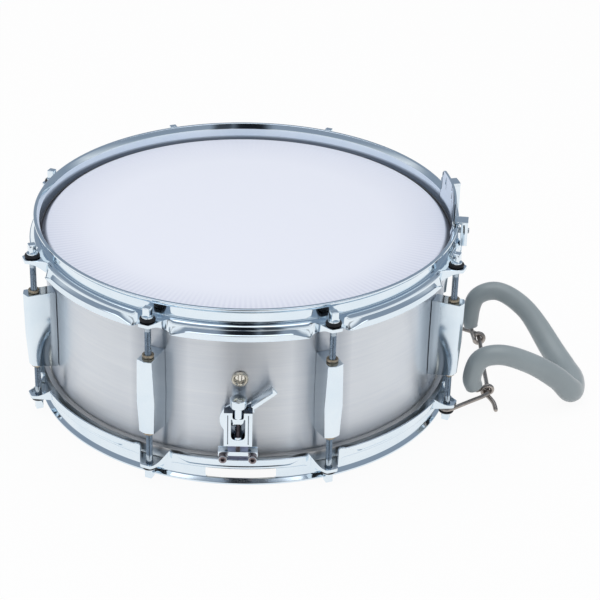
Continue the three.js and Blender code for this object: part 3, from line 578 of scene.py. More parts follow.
COMB_LINES = 224.0
head_film, tree, shader = new_finish("head_film")
away, angle = radial(tree)
comb = math_node(tree, "SINE", times(tree, angle, COMB_LINES))
comb_zone = spread_over(tree, away, 0.136, 0.166)
# The comb is painted stronger on the front half: painted shade.
front_half_shade = spread_over(tree, math_node(tree, "COSINE", angle), 0.2, -0.5, 0.08, 0.55)
comb_and_front_shade = times(tree, times(tree, spread_over(tree, comb, -1.0, 1.0), comb_zone), front_half_shade)
film_clouds = noise(tree, stretched(tree), 9.0, 2.0, 0.5)
cloud_mask = spread_over(tree, film_clouds, 0.3, 0.7, 0.0, 0.12)
# The film is painted darker towards its rim: painted shade.
rim_shade_mask = spread_over(tree, away, 0.125, 0.172, 0.0, 0.3)
# Its outermost 2 mm, where it folds down, are painted near black: painted shade in the fold.
fold_shade_mask = spread_over(tree, away, 0.1755, 0.1775, 0.0, 0.9)
film_grain = noise(tree, stretched(tree), 1800.0, 2.0, 0.6)
drive(
    tree, shader, Base_Color=mixed(tree, comb_and_front_shade, (0.85, 0.88, 0.96, 1), (0.62, 0.65, 0.78, 1)),
    Normal=bumped(tree, film_grain, 0.12, 0.00002),
    Roughness=spread_over(tree, film_clouds, 0.3, 0.7, 0.34, 0.46),
)
painted_over(tree, shader, rim_shade_mask, (0.6, 0.64, 0.77, 1))
painted_over(tree, shader, cloud_mask, (0.74, 0.77, 0.86, 1))
painted_over(tree, shader, fold_shade_mask, (0.1, 0.11, 0.14, 1))

snare_film, tree, shader = new_finish("snare_film")
film_haze = noise(tree, stretched(tree), 30.0, 3.0, 0.6)
film_grain = noise(tree, stretched(tree), 1500.0, 2.0, 0.6)
drive(
    tree, shader, Base_Color=mixed(tree, film_haze, (0.97, 0.95, 0.88, 1), (0.9, 0.87, 0.79, 1)),
    Normal=bumped(tree, film_grain, 0.1, 0.00002),
    Roughness=spread_over(tree, film_haze, 0.3, 0.7, 0.12, 0.2), Transmission_Weight=0.9, IOR=1.15,
)


def moulded(name, colour, shade, roughness, grain, depth, cloud_scale=60.0, **values):
    finish, tree, shader = new_finish(name)
    where = stretched(tree)
    cloud = spread_over(tree, noise(tree, where, cloud_scale, 3.0, 0.6), 0.3, 0.7)
    fine_grain = noise(tree, where, grain, 2.0, 0.6)
    drive(
        tree, shader, Base_Color=mixed(tree, cloud, colour, shade),
        Normal=bumped(tree, fine_grain, 0.3, depth),
        Roughness=spread_over(tree, cloud, 0.0, 1.0, roughness, roughness + 0.1), **values,
    )
    return finish


nylon = moulded(
    "black_nylon", (0.006, 0.006, 0.008, 1), (0.014, 0.014, 0.018, 1), 0.42, 1500.0, 0.00003,
    Specular_IOR_Level=0.3,
)
rubber = moulded(
    "grey_rubber", (0.33, 0.385, 0.4, 1), (0.29, 0.34, 0.355, 1), 0.34, 1100.0, 0.00006, 22.0,
    Specular_IOR_Level=0.75, Sheen_Weight=0.35, Sheen_Roughness=0.4,
)

WARP, WEFT = 9000.0, 7000.0
tape, tree, shader = new_finish("woven_tape")
across, _, along = axes_of(tree, stretched(tree))
warp = math_node(tree, "SINE", times(tree, across, WARP))
weave = times(tree, warp, math_node(tree, "SINE", times(tree, along, WEFT)))
tape_colour = mixed(
    tree, spread_over(tree, weave, -1.0, 1.0), (0.66, 0.68, 0.86, 1), (0.56, 0.58, 0.78, 1),
)
drive(
    tree, shader, Base_Color=tape_colour, Normal=bumped(tree, weave, 0.4, 0.00008), Roughness=0.55,
)
print("finishes:", [m.name for m in bpy.data.materials])

# %% [markdown]
# ## Shell
#
# The shell is one sheet of aluminium with its edges drawn in to carry the heads. A spun profile
# is the natural tool: one section of the wall, with rounded edges, turned once round the axis.
# Fine level brush lines spread a reflection up and down much more than sideways, which is what
# the anisotropy says. Right beside each lug the metal is painted darker, as painted shade for the
# lug's shadow and reflection on the shell.
# The vent is a rolled eyelet pressed through the wall, so it is spun about its own axis.

# %% Shell and vent
SHELL_RADIUS = 177.8
SHELL_WALL = 1.6
HEAD_EDGE = 13.5
MIDDLE = drum_height / 2
low_edge, high_edge = HEAD_EDGE, drum_height - HEAD_EDGE
VENT = {"height": 98.5, "bore": 4.3, "barrel": 5.9, "flange": 7.0, "thick": 2.2, "tail": 1.4}

DRAWN_IN, EDGE_LAND, EDGE_RISE = 2.4, 2.0, 3.2
inner_wall = SHELL_RADIUS - SHELL_WALL
edge_out, edge_in = SHELL_RADIUS - DRAWN_IN, SHELL_RADIUS - DRAWN_IN - EDGE_LAND
shell_profile = rounded([
    (SHELL_RADIUS, low_edge + DRAWN_IN, 2), (SHELL_RADIUS, high_edge - DRAWN_IN, 2),
    (edge_out, high_edge, 0.6), (edge_in, high_edge, 0.6),
    (inner_wall, high_edge - EDGE_RISE, 1), (inner_wall, low_edge + EDGE_RISE, 1),
    (edge_in, low_edge, 0.6), (edge_out, low_edge, 0.6),
])
through_wall = (-SHELL_RADIUS - 6, -SHELL_RADIUS + 8)
vent_hole = rod_along("Y", VENT["barrel"] + 0.3, (0, 0, VENT["height"]), through_wall, 48, 0)
shell = carved(spun(shell_profile, 256), [vent_hole])

LUGS = 8
around = shell_tree.nodes.new("ShaderNodeTangent")
around.direction_type = "RADIAL"
around.axis = "Z"
drive(
    shell_tree, shell_shader, Anisotropic=1.0, Anisotropic_Rotation=0.25,
    Tangent=around.outputs[0],
)
_, angle = radial(shell_tree)
wave = math_node(shell_tree, "COSINE", times(shell_tree, angle, float(LUGS)))
# The band beside each lug is painted shade: the lug's shadow and reflection on the shell.
shade_beside_lug = spread_over(shell_tree, wave, -0.35, -0.8, 0.0, 0.42)
painted_over(shell_tree, shell_shader, shade_beside_lug, (0.3, 0.34, 0.4, 1))
finish_piece("shell_wall", shell, shell_metal, "drum", ["shell"], "shell_aluminium")

on_shell = SHELL_RADIUS + 0.3
inside = inner_wall - 0.3
vent_face, vent_lip = on_shell + VENT["thick"], on_shell + VENT["thick"] - 1.2
vent_back = inside - 1
vent_profile = rounded([
    (VENT["bore"], vent_lip, 0.5), (VENT["bore"] + 1, vent_face, 0.7),
    (VENT["flange"] - 1, vent_face, 0.7), (VENT["flange"], vent_lip, 0.6),
    (VENT["flange"], on_shell, 0.3), (VENT["barrel"], on_shell, 0), (VENT["barrel"], inside, 0),
    (VENT["flange"], vent_back, 0.3), (VENT["flange"], vent_back - VENT["tail"], 0.4),
    (VENT["bore"], vent_back - VENT["tail"], 0.4),
], segments=4)
vent = spun(vent_profile, 48)
moved(vent, Matrix.Translation((0, 0, VENT["height"])) @ Matrix.Rotation(math.pi / 2, 4, "X"))
finish_piece("vent_eyelet", vent, nickel, "drum", ["vent_grommet"], "nickel")

# %% [markdown]
# ## Heads and flesh hoops
#
# Each head is a milky film whose rim is drawn down over the shell's edge and held in a channelled
# aluminium ring, the flesh hoop. Both are made for the lower end, and the upper pair is the same
# pair turned over.

# %% Heads
turn_over = Matrix.Translation((0, 0, drum_height)) @ Matrix.Rotation(math.pi, 4, "X")
SHELF, STEEL, GAP = 14.5, 1.6, 0.3
FILM_FLAT, COLLAR, FILM = 175.6, 180.8, 0.35
film_face = HEAD_EDGE - GAP - FILM
film_bend, film_end = film_face + 5.2, film_face + 9
flesh_near = SHELF + STEEL + GAP

film_profile = rounded([
    (0, film_face, 0), (FILM_FLAT, film_face, 2.5), (COLLAR, film_bend, 1.6),
    (COLLAR, film_end, 0.1), (COLLAR - FILM, film_end, 0.1), (COLLAR - FILM, film_bend, 1.3),
    (FILM_FLAT, film_face + FILM, 2.2), (0, film_face + FILM, 0),
], closed=False, segments=5)
FLESH_OUT, FLESH_IN, SLOT_IN, SLOT_OUT = 183.8, 179.2, 180.1, 181.1
flesh_far, slot_near, slot_far = flesh_near + 10, flesh_near + 2.6, flesh_near + 6.4
flesh_profile = rounded([
    (FLESH_OUT, flesh_near, 0.5), (FLESH_OUT, flesh_far, 0.5), (FLESH_IN, flesh_far, 0.5),
    (FLESH_IN, slot_near, 0.3), (SLOT_IN, slot_near, 0.1), (SLOT_IN, slot_far, 0.1),
    (SLOT_OUT, slot_far, 0.1), (SLOT_OUT, flesh_near, 0.2),
])
ends = (("snare", Matrix.Identity(4), snare_film), ("batter", turn_over, head_film))
for end, place, film_finish in ends:
    film = moved(spun(film_profile, 256, closed=False), place)
    finish_piece(f"{end}_film", film, film_finish, "drum", [f"{end}_head"], "head_film", crease=50)
    ring = moved(spun(flesh_profile, 256), place)
    ring_node = [f"{end}_flesh_hoop"]
    finish_piece(f"{end}_ring", ring, plain_aluminium, "drum", ring_node, "flesh_aluminium")

# %% [markdown]
# ## Hoops
#
# A pressed hoop is one bent sheet: a flared lip, an upright wall, a flat shelf over the flesh
# hoop, a round bend into the skirt, and a flange. At each rod the sheet is drawn out into an ear,
# so shelf, skirt and flange run out round the rod and come back. The ring is spun first, with its
# steps crowded towards the ears, and then the skirt's vertices are moved out to the ear's
# outline. Towards an ear the skirt also gets shallower, and the flange narrows and runs out.

# %% Hoop profile
SKIRT, FLANGE, SKIRT_DEPTH = 187.6, 191.2, 27.6
LIP, LIP_THICK = 187, 1.7
ROLL_RADIUS, ROLL_END = 5, 16
ROLL_CENTRE = Vector((183.5, SHELF + ROLL_RADIUS))


def roll(radius, first, last, steps=9):
    """Part of the round bend from shelf to skirt. Angles count from level outwards."""
    angles = [math.radians(first + (last - first) * i / steps) for i in range(steps + 1)]
    arms = [Vector((math.cos(a), -math.sin(a))) * radius for a in angles]
    return [(*(ROLL_CENTRE + arm), 0) for arm in arms]


hoop_profile = rounded(
    [(184.2, 0, 0.7), (LIP, 0, 0.8), (LIP, LIP_THICK, 0.7), (183.5, 4.6, 2.5), (182.7, SHELF, 0.6)]
    + roll(ROLL_RADIUS, 90, ROLL_END)
    + [(188.4, 18.8, 0.3), (190.3, 21.4, 0.4), (FLANGE, 21.9, 0.4), (FLANGE, SKIRT_DEPTH, 0.6),
       (FLANGE - STEEL, SKIRT_DEPTH, 0.6), (FLANGE - STEEL, 22.3, 0.8), (187, 21.4, 0.8)]
    + roll(ROLL_RADIUS - STEEL, ROLL_END, 90)
    + [(181.1, SHELF + STEEL, 0.6), (181.9, 4.6, 3.2)],
    segments=5,
)
print("points in the hoop's section:", len(hoop_profile))

# %% Ears
EAR_SPACING = FULL_TURN / LUGS
FIRST_EAR = EAR_SPACING / 2
CROWDING = 0.6
EAR = {"reach": 203.4, "side": 157.5, "side_slope": 0.75, "corner": 106.7, "corner_slope": 0.5}
EAR_EDGE = 18.2
DRAWN_RADIUS, DRAWN_DEPTH = 185, 10
# How far along the skirt from an ear's middle each change begins and ends.
DEEPENS, FLARES, STEP_RISES = (6, 16.5), (14.8, 17.4), (15, 34)
# The flange's upper edge lies between these depths, and runs down by the drop at an ear.
STEP, STEP_END, STEP_DROP = (18, 20.3), 23, 5


def softly_least(a, b, blend):
    near = max(blend - abs(a - b), 0) / blend
    return min(a, b) - near * near * blend / 4


def ear_outline(angle):
    """How far out the sheet reaches at an angle from an ear's middle."""
    tip = EAR["reach"] / math.cos(angle)
    side = EAR["side"] / (math.sin(angle) + EAR["side_slope"] * math.cos(angle))
    corner = EAR["corner"] / (math.sin(angle) + EAR["corner_slope"] * math.cos(angle))
    reach = softly_least(softly_least(tip, side, 1.5), corner, 1.5)
    return -softly_least(-SKIRT, -reach, 1.2)


def eased_step(value, low, high):
    t = min(max((value - low) / (high - low), 0), 1)
    return t * t * (3 - 2 * t)


def on_outer_face(radius, depth):
    """Whether a point of the skirt lies on the outer of the sheet's two faces."""
    if depth < ROLL_CENTRE.y:
        return (Vector((radius, depth)) - ROLL_CENTRE).length > ROLL_RADIUS - STEEL / 2
    return radius > 187.1 + 3.3 * eased_step(depth, 18.6, 22.2)


def drawn_out(radius, depth, off):
    """Moves a point of the skirt out to an ear. `off` is its angle from the ear's middle."""
    along = SKIRT * math.sin(off)
    face = SKIRT if on_outer_face(radius, depth) else SKIRT - STEEL
    flare = radius - face if depth > SHELF + 0.5 else 0
    radius += ear_outline(off) - SKIRT - flare * (1 - eased_step(along, *FLARES))
    if STEP[0] < depth < STEP_END:
        depth += STEP_DROP * (1 - eased_step(along, *STEP_RISES)) * eased_step(depth, *STEP)
    start = SHELF + STEEL + 1
    if depth > start:
        share = (EAR_EDGE - start) / (SKIRT_DEPTH - start)
        at_ear_share = 1 - eased_step(along, *DEEPENS)
        depth = start + (depth - start) * (1 - (1 - share) * at_ear_share)
    return radius, depth


def pressed_hoop():
    bm = spun(hoop_profile, 512)
    for vert in bm.verts:
        radius, depth = math.hypot(vert.co.x, vert.co.y), vert.co.z
        angle = math.atan2(vert.co.x, -vert.co.y)
        angle -= CROWDING / LUGS * math.sin(LUGS * (angle - FIRST_EAR))
        if radius > DRAWN_RADIUS and depth > DRAWN_DEPTH:
            turns = (angle - FIRST_EAR) / EAR_SPACING
            radius, depth = drawn_out(radius, depth, abs(turns - round(turns)) * EAR_SPACING)
        vert.co = (radius * math.sin(angle), -radius * math.cos(angle), depth)
    bmesh.ops.recalc_face_normals(bm, faces=bm.faces)
    return bm


# %% Hoops
ROD_CIRCLE = 195.5
ROD_HOLE = 3.3
GATE = {"low": 4.1, "left": -28.0, "right": 31.2, "strap": 10.5}
STRAINER_X = -0.8


def at_ear(i):
    return Matrix.Rotation((i - 1.5) * EAR_SPACING, 4, "Z")


def rod_holes():
    centre, reach = (0, -ROD_CIRCLE, 0), (SHELF - 3, SHELF + STEEL + 3)
    return [moved(rod_along("Z", ROD_HOLE, centre, reach, 24, 0), at_ear(i)) for i in range(LUGS)]


def gate_windows():
    across, high = (GATE["left"], GATE["right"]), (GATE["low"], SHELF)
    return [block(across, sorted((s * 176, s * 184.5)), high, 2, 3) for s in (-1, 1)]


def tape_slots():
    half, high = GATE["strap"], (SHELF - STEEL, SHELF + 2)
    return [
        block((x - half, x + half), sorted((s * 176, s * 186)), high, 0)
        for s, x in ((-1, STRAINER_X), (1, 0))
    ]


upper = moved(carved(pressed_hoop(), rod_holes()), turn_over)
lower = carved(carved(carved(pressed_hoop(), rod_holes()), gate_windows()), tape_slots())
chromed("top_hoop_pressing", upper, "drum", "top_hoop", crease=40)
chromed("bottom_hoop_pressing", lower, "drum", "bottom_hoop", crease=40)

# %% [markdown]
# ## Lugs
#
# A lug is a hollow cast casing with flat facets that meet in a ridge, widest at its girdle. Three
# rings of seven corners are bridged into the casing. A brass swivel nut stands in each end, with
# the rod going down its bore. The flanks are painted darker towards the shell, as a painted
# reflection of the shade on the shell.

# %% Lug finish
lug_chrome_painted_shade, lug_tree, lug_shader = plated("lug_chrome_painted_shade", *BRIGHT_PLATE)
away, _ = radial(lug_tree)
# The flanks are painted darker towards the shell: a painted reflection of the shell's shade.
flank_shade_near_shell = spread_over(lug_tree, away, 0.203, 0.189, 0.0, 0.2)
painted_over(lug_tree, lug_shader, flank_shade_near_shell, (0.2, 0.27, 0.34, 1))

# %% Lug casings and nuts
LUG_HEIGHT, GIRDLE_DROP, NUT_BORE = 70.0, 41.0, 4.6
lug_low, lug_high = MIDDLE - LUG_HEIGHT / 2, MIDDLE + LUG_HEIGHT / 2
lug_rings = [
    (lug_low, 4, (6.6, 6.8, 5.0, 3.4, 6.3, 7.1)),
    (lug_high - GIRDLE_DROP, 0, (7.3, 8.2, 6.0, 5.1, 8.0, 9.1)),
    (lug_high, 0, (6.7, 6.8, 7.4, 3.4, 8.7, 9.8)),
]


def lug_casing():
    bm = bmesh.new()
    loops = []
    for z, drop, (base_half, side_half, side, front_half_shade, front, nose) in lug_rings:
        half = [
            (base_half, on_shell, z - drop), (side_half, ROD_CIRCLE + side, z),
            (front_half_shade, ROD_CIRCLE + front, z),
        ]
        corners = [(-x, -r, h) for x, r, h in half] + [(0, -ROD_CIRCLE - nose, z)]
        corners += [(x, -r, h) for x, r, h in reversed(half)]
        verts = [bm.verts.new(c) for c in corners]
        loops.append([bm.edges.new((verts[i - 1], verts[i])) for i in range(len(verts))])
    for low, high in zip(loops, loops[1:]):
        bmesh.ops.bridge_loops(bm, edges=low + high)
    bmesh.ops.holes_fill(bm, edges=[e for e in bm.edges if e.is_boundary], sides=0)
    bmesh.ops.recalc_face_normals(bm, faces=bm.faces)
    bores = [
        rod_along("Z", NUT_BORE, (0, -ROD_CIRCLE, 0), reach, 32, 0)
        for reach in ((lug_low - 5, lug_low + 25), (lug_high - 25, lug_high + 5))
    ]
    return eased(carved(bm, bores), 0.35, 2, 12)


def swivel_nut(base, way):
    profile = rounded([
        (3.1, -2.5, 0.2), (3.1, 3, 0.5), (5, 3, 0.8),
        (5, 0.6, 0.3), (4.4, 0.2, 0.2), (4.4, -2.5, 0.2),
    ])
    bm = spun([(r, base + way * h) for r, h in profile], 32)
    return moved(bm, Matrix.Translation((0, -ROD_CIRCLE, 0)))


casing = lug_casing()
nuts = joined([swivel_nut(lug_low, -1), swivel_nut(lug_high, 1)])
for i in range(LUGS):
    name = f"lug_{i + 1}"
    body, rings = (moved(form.copy(), at_ear(i)) for form in (casing, nuts))
    finish_piece(f"{name}_casing", body, lug_chrome_painted_shade, "drum", [name], "chrome", crease=8)
    finish_piece(f"{name}_nuts", rings, nut_metal, "drum")

# %% [markdown]
# ## Tension rods
#
# A rod has a square head for a drum key, a collar, a black nylon washer, a smooth neck and a
# thread that goes into the swivel nut. The thread is a row of close grooves in the spun profile:
# at this size a true helix couldn't be told from rings.

# %% Rods and washers
SHANK, THREAD_ROOT, PITCH = 2.8, 2.35, 1.06
WASHER, WASHER_HEIGHT, COLLAR_RADIUS, COLLAR_HEIGHT = 6.75, 2.0, 4.9, 1.6
HEAD_HALF, HEAD_HEIGHT, SHORT_HEAD = 3.15, 8.0, 6.0
SMOOTH_NECK, IN_LUG = 10.0, 22
WIRE = 1.9


def rod_forms(packing, head_height):
    """The rod and its washer at the lower end of the drum, standing on the drum's axis."""
    seat = SHELF - GAP - packing
    under_washer = seat - WASHER_HEIGHT
    under_collar = under_washer - COLLAR_HEIGHT
    collar = spun(rounded([
        (0, under_collar, 0), (COLLAR_RADIUS, under_collar, 0.5),
        (COLLAR_RADIUS, under_washer, 0.3), (0, under_washer, 0),
    ], closed=False), 36, closed=False)
    thread_from = SHELF + SMOOTH_NECK
    end = lug_low + IN_LUG
    profile = [(0, under_washer), (SHANK, under_washer), (SHANK, thread_from)]
    for turn in range(int((end - thread_from) / PITCH)):
        level = thread_from + turn * PITCH
        profile += [(THREAD_ROOT, level + PITCH / 2), (SHANK, level + PITCH)]
    profile += [(THREAD_ROOT - 0.3, end), (0, end)]
    shaft = spun(profile, 20, closed=False)
    square = (-HEAD_HALF, HEAD_HALF)
    head = block(square, square, (under_collar - head_height, under_collar + 0.2), 0.55, 3)
    washer = spun(rounded([
        (SHANK + 0.1, under_washer, 0.1), (WASHER - 0.5, under_washer, 0.5),
        (WASHER, seat - 0.6, 0.5), (WASHER - 0.2, seat, 0.3), (SHANK + 0.1, seat, 0.1),
    ]), 40)
    return joined([collar, head]), shaft, washer


plain_forms = rod_forms(0, HEAD_HEIGHT)
short_forms = rod_forms(2 * WIRE + GAP, SHORT_HEAD)
for i in range(LUGS):
    angle = (i - 1.5) * EAR_SPACING
    place = Matrix.Translation((ROD_CIRCLE * math.sin(angle), -ROD_CIRCLE * math.cos(angle), 0))
    turned = Matrix.Rotation(angle, 4, "Z")
    holds_bracket = i in (3, 4)
    for end, turn in (("bottom", turned), ("top", turned @ turn_over)):
        forms = short_forms if holds_bracket and end == "bottom" else plain_forms
        body, name = f"rod_{end}_{i + 1}", f"tension_rod_{end}_{i + 1}"
        head, shaft, washer = (moved(form.copy(), place @ turn) for form in forms)
        chromed(f"{name}_head", head, body, name, crease=35)
        finish_piece(f"{name}_shank", shaft, rod_steel, body, crease=60)
        finish_piece(f"{name}_washer", washer, nylon, body)

# %% [markdown]
# ## Strainer
#
# The strainer throws the snares on and off. From the shell outwards there are a base plate, a
# lever that turns on a pin, a carriage that its cam lifts, and a knob whose screw draws the clamp
# up. Boxes with eased edges and cut pockets make the cast parts, and spun forms the turned ones.

# %% Base, pin and lever
PIVOT = 62.0
base_front = on_shell + 2
lever_back = base_front + GAP
lever_front = lever_back + 2.6
carriage_back = lever_front + GAP
carriage_front = carriage_back + 9.2
knob_depth = carriage_back + 5.4


def at_strainer(bm, height=0.0):
    return moved(bm, Matrix.Translation((STRAINER_X, 0, height)))


# The base plate takes the shadowed chrome: painted shade from the knob and carriage.
base_plate = block((-11.5, 11.5), (-base_front, -on_shell), (PIVOT - 19, PIVOT + 11.5), 0.5)
base_plate = at_strainer(base_plate)
finish_piece("strainer_plate", base_plate, painted_shade_chrome, "drum", ["strainer_base"], "chrome")

pin = joined([
    rod_along("Y", 2.5, (0, 0, PIVOT), (-carriage_back - 2.6, -on_shell - GAP), 24),
    rod_along("Y", 3.6, (0, 0, PIVOT), (-carriage_back - 3.3, -carriage_back - 2.1), 32),
])
finish_piece("pivot_pin", at_strainer(pin), zinc, "drum", ["lever_pin"], "chrome")

LEVER_ANGLE, HALF_THROW, TRAVEL = math.radians(40), math.radians(37.5), 6
lever_turn = Matrix.Rotation(-LEVER_ANGLE, 4, "Y")
disc = moved(rod_along("Y", 15.6, (0, 0, 0), (-lever_front, -lever_back), 96, 0.4), lever_turn)
flat_side = block((11.6, 20), (-lever_front - 1, -lever_back + 1), (-20, 7.6), 0)
disc = moved(carved(disc, [flat_side]), lever_turn.inverted())
arm = block((8, 41.2), (-lever_front, -lever_back), (-0.6, 7), 0.5)
flange_outline = rounded([
    (19.2, -lever_back - 11.5, 1.5), (39.6, -lever_back - 11.5, 3), (41.2, -lever_back - 9.5, 2),
    (41.2, -lever_back, 0), (19.2, -lever_back, 0),
])
flange = eased(raised(flange_outline, (5.2, 7)), 0.5)
cam_angle = math.pi + HALF_THROW - LEVER_ANGLE
cam_radius = TRAVEL / (2 * math.sin(HALF_THROW))
cam_at = (cam_radius * math.cos(cam_angle), 0, cam_radius * math.sin(cam_angle))
cam = rod_along("Y", 1, cam_at, (-lever_front - 2, -lever_back), 16, 0.2)
lever = moved(joined([disc, arm, flange, cam]), lever_turn)
chromed("throw_lever", at_strainer(lever, PIVOT), "lever", "strainer_lever")

# %% Carriage and knob
def prism_facing(outline, depth):
    """An outline in X and Z, drawn along Y between two depths in front of the axis."""
    flat = raised([(x, -z) for x, z in outline], (-depth[1], -depth[0]))
    return moved(flat, Matrix.Rotation(-math.pi / 2, 4, "X"))


SIDE, TOP, LOW = 11.8, PIVOT + 12.2, PIVOT - 19.8
POCKET, POCKET_LOW, WEB, GROOVE, GUIDE = 5.9, PIVOT - 14, 3.9, 8.5, 3.6
neck, through = PIVOT + 6.1, carriage_front + 3
wall_front = carriage_back + 1.8
slot_outline = rounded([
    (-POCKET, POCKET_LOW, 5), (POCKET, POCKET_LOW, 5), (POCKET, neck, 0.5), (4.9, neck, 0.2),
    (WEB, PIVOT + 1.6, 2.4), (-WEB, PIVOT + 1.6, 2.4), (-4.9, neck, 0.2), (-POCKET, neck, 0.5),
], segments=6)
neck_outline = rounded([
    (-4.7, PIVOT + 6.2, 2.2), (4.7, PIVOT + 6.2, 2.2), (4.7, PIVOT + 14, 0), (-4.7, PIVOT + 14, 0),
])
behind = (-wall_front - 0.3, -carriage_back + 3)
cam_slot = (-cam_radius - 1.3, -cam_radius * math.cos(HALF_THROW) + 1.3)
cuts = [
    prism_facing(slot_outline, (wall_front, through)),
    prism_facing(neck_outline, (knob_depth, through)),
    rod_along("Z", 4.5, (0, -knob_depth, 0), (PIVOT + 6.2, PIVOT + 14), 40, 0),
    rod_along("Z", 2.2, (0, -knob_depth, 0), (PIVOT - 22, PIVOT + 12), 24, 0),
    block((-2.8, 2.8), behind, (PIVOT - 8.8, PIVOT + 2.8), 0),
    block((-WEB, WEB), (-wall_front - 1.8, -wall_front), (PIVOT - 9.9, PIVOT + 3.9), 0),
    block(cam_slot, behind, (PIVOT - 4.3, PIVOT - 1.7), 0),
]
for middle in (-GROOVE, GROOVE):
    groove = (middle - 0.4, middle + 0.4), (-carriage_front - 1, -carriage_front + 0.8)
    cuts.append(block(*groove, (PIVOT - 18, PIVOT + 10), 0))
carriage = block((-SIDE, SIDE), (-carriage_front, -carriage_back), (LOW, TOP), 0)
carriage = eased(carved(carriage, cuts, crossing=True), 0.45, 2, 40)
screw_guide = spun(rounded([
    (2.2, PIVOT - 15, 0.2), (GUIDE, PIVOT - 15, 0.2),
    (GUIDE, PIVOT - 11.8, 1.3), (2.2, PIVOT - 11.8, 0.3),
]), 40)
carriage = joined([carriage, moved(screw_guide, Matrix.Translation((0, -knob_depth, 0)))])


def gets_painted_shade(at):
    """Whether a face of the carriage gets painted shade: in a pocket or groove, or on its sides or
    top.
    """
    aside, behind_front = abs(at.x), at.y + carriage_front
    in_pocket = aside < 6 and behind_front > 0.5 and PIVOT - 14.1 < at.z < PIVOT + 12
    on_guide = math.hypot(at.x, at.y + knob_depth) < 3.8 and at.z < PIVOT - 11.6
    on_web = aside < 4.9 and PIVOT + 0.5 < at.z < neck and at.y < -wall_front - 0.3
    in_groove = 8.05 < aside < 8.95 and 0.2 < behind_front < 1
    on_side = aside > 11.7 or at.z > PIVOT + 12.1
    return (in_pocket and not on_guide and not on_web) or in_groove or on_side


# These faces take the second finish, which is painted shade.
for face in carriage.faces:
    face.material_index = int(gets_painted_shade(face.calc_center_median()))
carriage = at_strainer(carriage)
chromed("strainer_slide", carriage, "carriage", "strainer_carriage", inner=painted_shade_chrome)

STEM, KNOB, SCREW, SCREW_ROOT = 4.2, 6.9, 1.9, 1.5
stem_low, knob_low, knob_top = PIVOT + 4.6, PIVOT + 16.6, PIVOT + 24.2
knob_profile = rounded([
    (0, stem_low, 0), (SCREW, stem_low, 0), (STEM, PIVOT + 6.5, 0.9), (STEM, PIVOT + 15.4, 0.4),
    (KNOB, knob_low, 0.7), (KNOB, knob_top, 0.8), (0, knob_top, 0),
], closed=False, segments=4)
knob = moved(spun(knob_profile, 64, closed=False), Matrix.Translation((0, -knob_depth, 0)))
chromed("draw_knob", at_strainer(knob), "knob", "tension_knob")
SCREW_END = 32.1
screw_profile = [(0, SCREW_END), (SCREW_ROOT, SCREW_END)]
thread_low = SCREW_END + 0.5
for turn in range(round((stem_low - thread_low) / PITCH)):
    level = thread_low + turn * PITCH
    screw_profile += [(SCREW, level), (SCREW_ROOT, level + PITCH / 2)]
screw_profile += [(SCREW, stem_low + 0.2), (0, stem_low + 0.2)]
screw = spun(screw_profile, 24, closed=False)
moved(screw, Matrix.Translation((0, -knob_depth, 0)))
finish_piece("draw_screw", at_strainer(screw), dark_steel_and_shade, "knob", crease=60)

# %% [markdown]
# ## Snare clamp and butt
#
# The tape of the snares is pinched between a bar and a thin jaw by two socket screws. The butt on
# the far side does the same with a fixed plate. Each socket is a six-sided hole cut into a head.

# %% Clamp, butt and their screws
CLAMP_TOP, CLAMP_LOW, CLAMP_HALF = 36.4, 28.2, 16.5
SCREW_X, BOSS = 12.3, 3.9
TAPE_HALF, TAPE = 8.5, 0.5
tape_back = FLESH_OUT + 0.6
tape_front = tape_back + TAPE
clamp_back = tape_front + GAP
clamp_front = clamp_back + 7
jaw_front = tape_back - GAP


def socket_screw(head_from, head_long, shank_from):
    """A socket screw. The socket and the head's rear part get the second, darker finish: painted
    shade.
    """
    centre, front = (0, 0, 0), -head_from - head_long
    head = rod_along("Y", 3.6, centre, (front, -head_from), 40, 0.5)
    socket = rod_along("Y", 1.9, centre, (front - 2, front + 2.4), 6, 0)
    head = eased(carved(head, [socket]), 0.15, 1, 50)
    for face in head.faces:
        middle = face.calc_center_median()
        in_socket = math.hypot(middle.x, middle.z) < 1.95 and middle.y < -head_from - 1
        at_rear = middle.y > -head_from - head_long * 0.6
        face.material_index = int(in_socket or at_rear)
    shank = rod_along("Y", 1.4, centre, (-head_from - 1, -shank_from), 20, 0.2)
    return joined([head, shank])


def screw_tunnels(depth, height):
    reach = (-depth[1], -depth[0])
    return [rod_along("Y", 1.8, (s * SCREW_X, 0, height), reach, 20, 0) for s in (-1, 1)]


screw_height = CLAMP_LOW + BOSS
full, clamp_reach = (-CLAMP_HALF, CLAMP_HALF), (-clamp_front, -clamp_back)
bar = block(full, clamp_reach, (CLAMP_TOP - 4, CLAMP_TOP), 0)
bosses = [rod_along("Y", BOSS, (s * SCREW_X, 0, screw_height), clamp_reach, 40, 0) for s in (-1, 1)]
bar = carved(bar, bosses, "UNION")
draw_hole = rod_along("Z", 2.2, (0, -knob_depth, 0), (CLAMP_LOW, CLAMP_TOP + 5), 24, 0)
bar = carved(bar, [draw_hole] + screw_tunnels((clamp_back - 4, clamp_front + 4), screw_height))
chromed("clamp_bar", at_strainer(eased(bar, 0.5, 2, 40)), "clamp", "snare_clamp")
jaw = block(full, (-jaw_front, -jaw_front + 1.2), (CLAMP_LOW, CLAMP_TOP), 0)
jaw = carved(jaw, screw_tunnels((jaw_front - 4, jaw_front + 4), screw_height))
chromed("clamp_jaw", at_strainer(eased(jaw, 0.25, 2, 40)), "clamp", "snare_clamp_jaw")


def finish_screw(name, screw, finish, body):
    # The second finish is painted shade in the socket and behind the head.
    finish_piece(f"{name}_steel", screw, finish, body, [name], "chrome", inner=dark_steel_and_shade)


for side, name in ((-1, "left"), (1, "right")):
    screw = socket_screw(clamp_front + GAP, 5.5, jaw_front - 1.2)
    moved(screw, Matrix.Translation((side * SCREW_X, 0, screw_height)))
    finish_screw(f"clamp_screw_{name}", at_strainer(screw), zinc, "clamp")

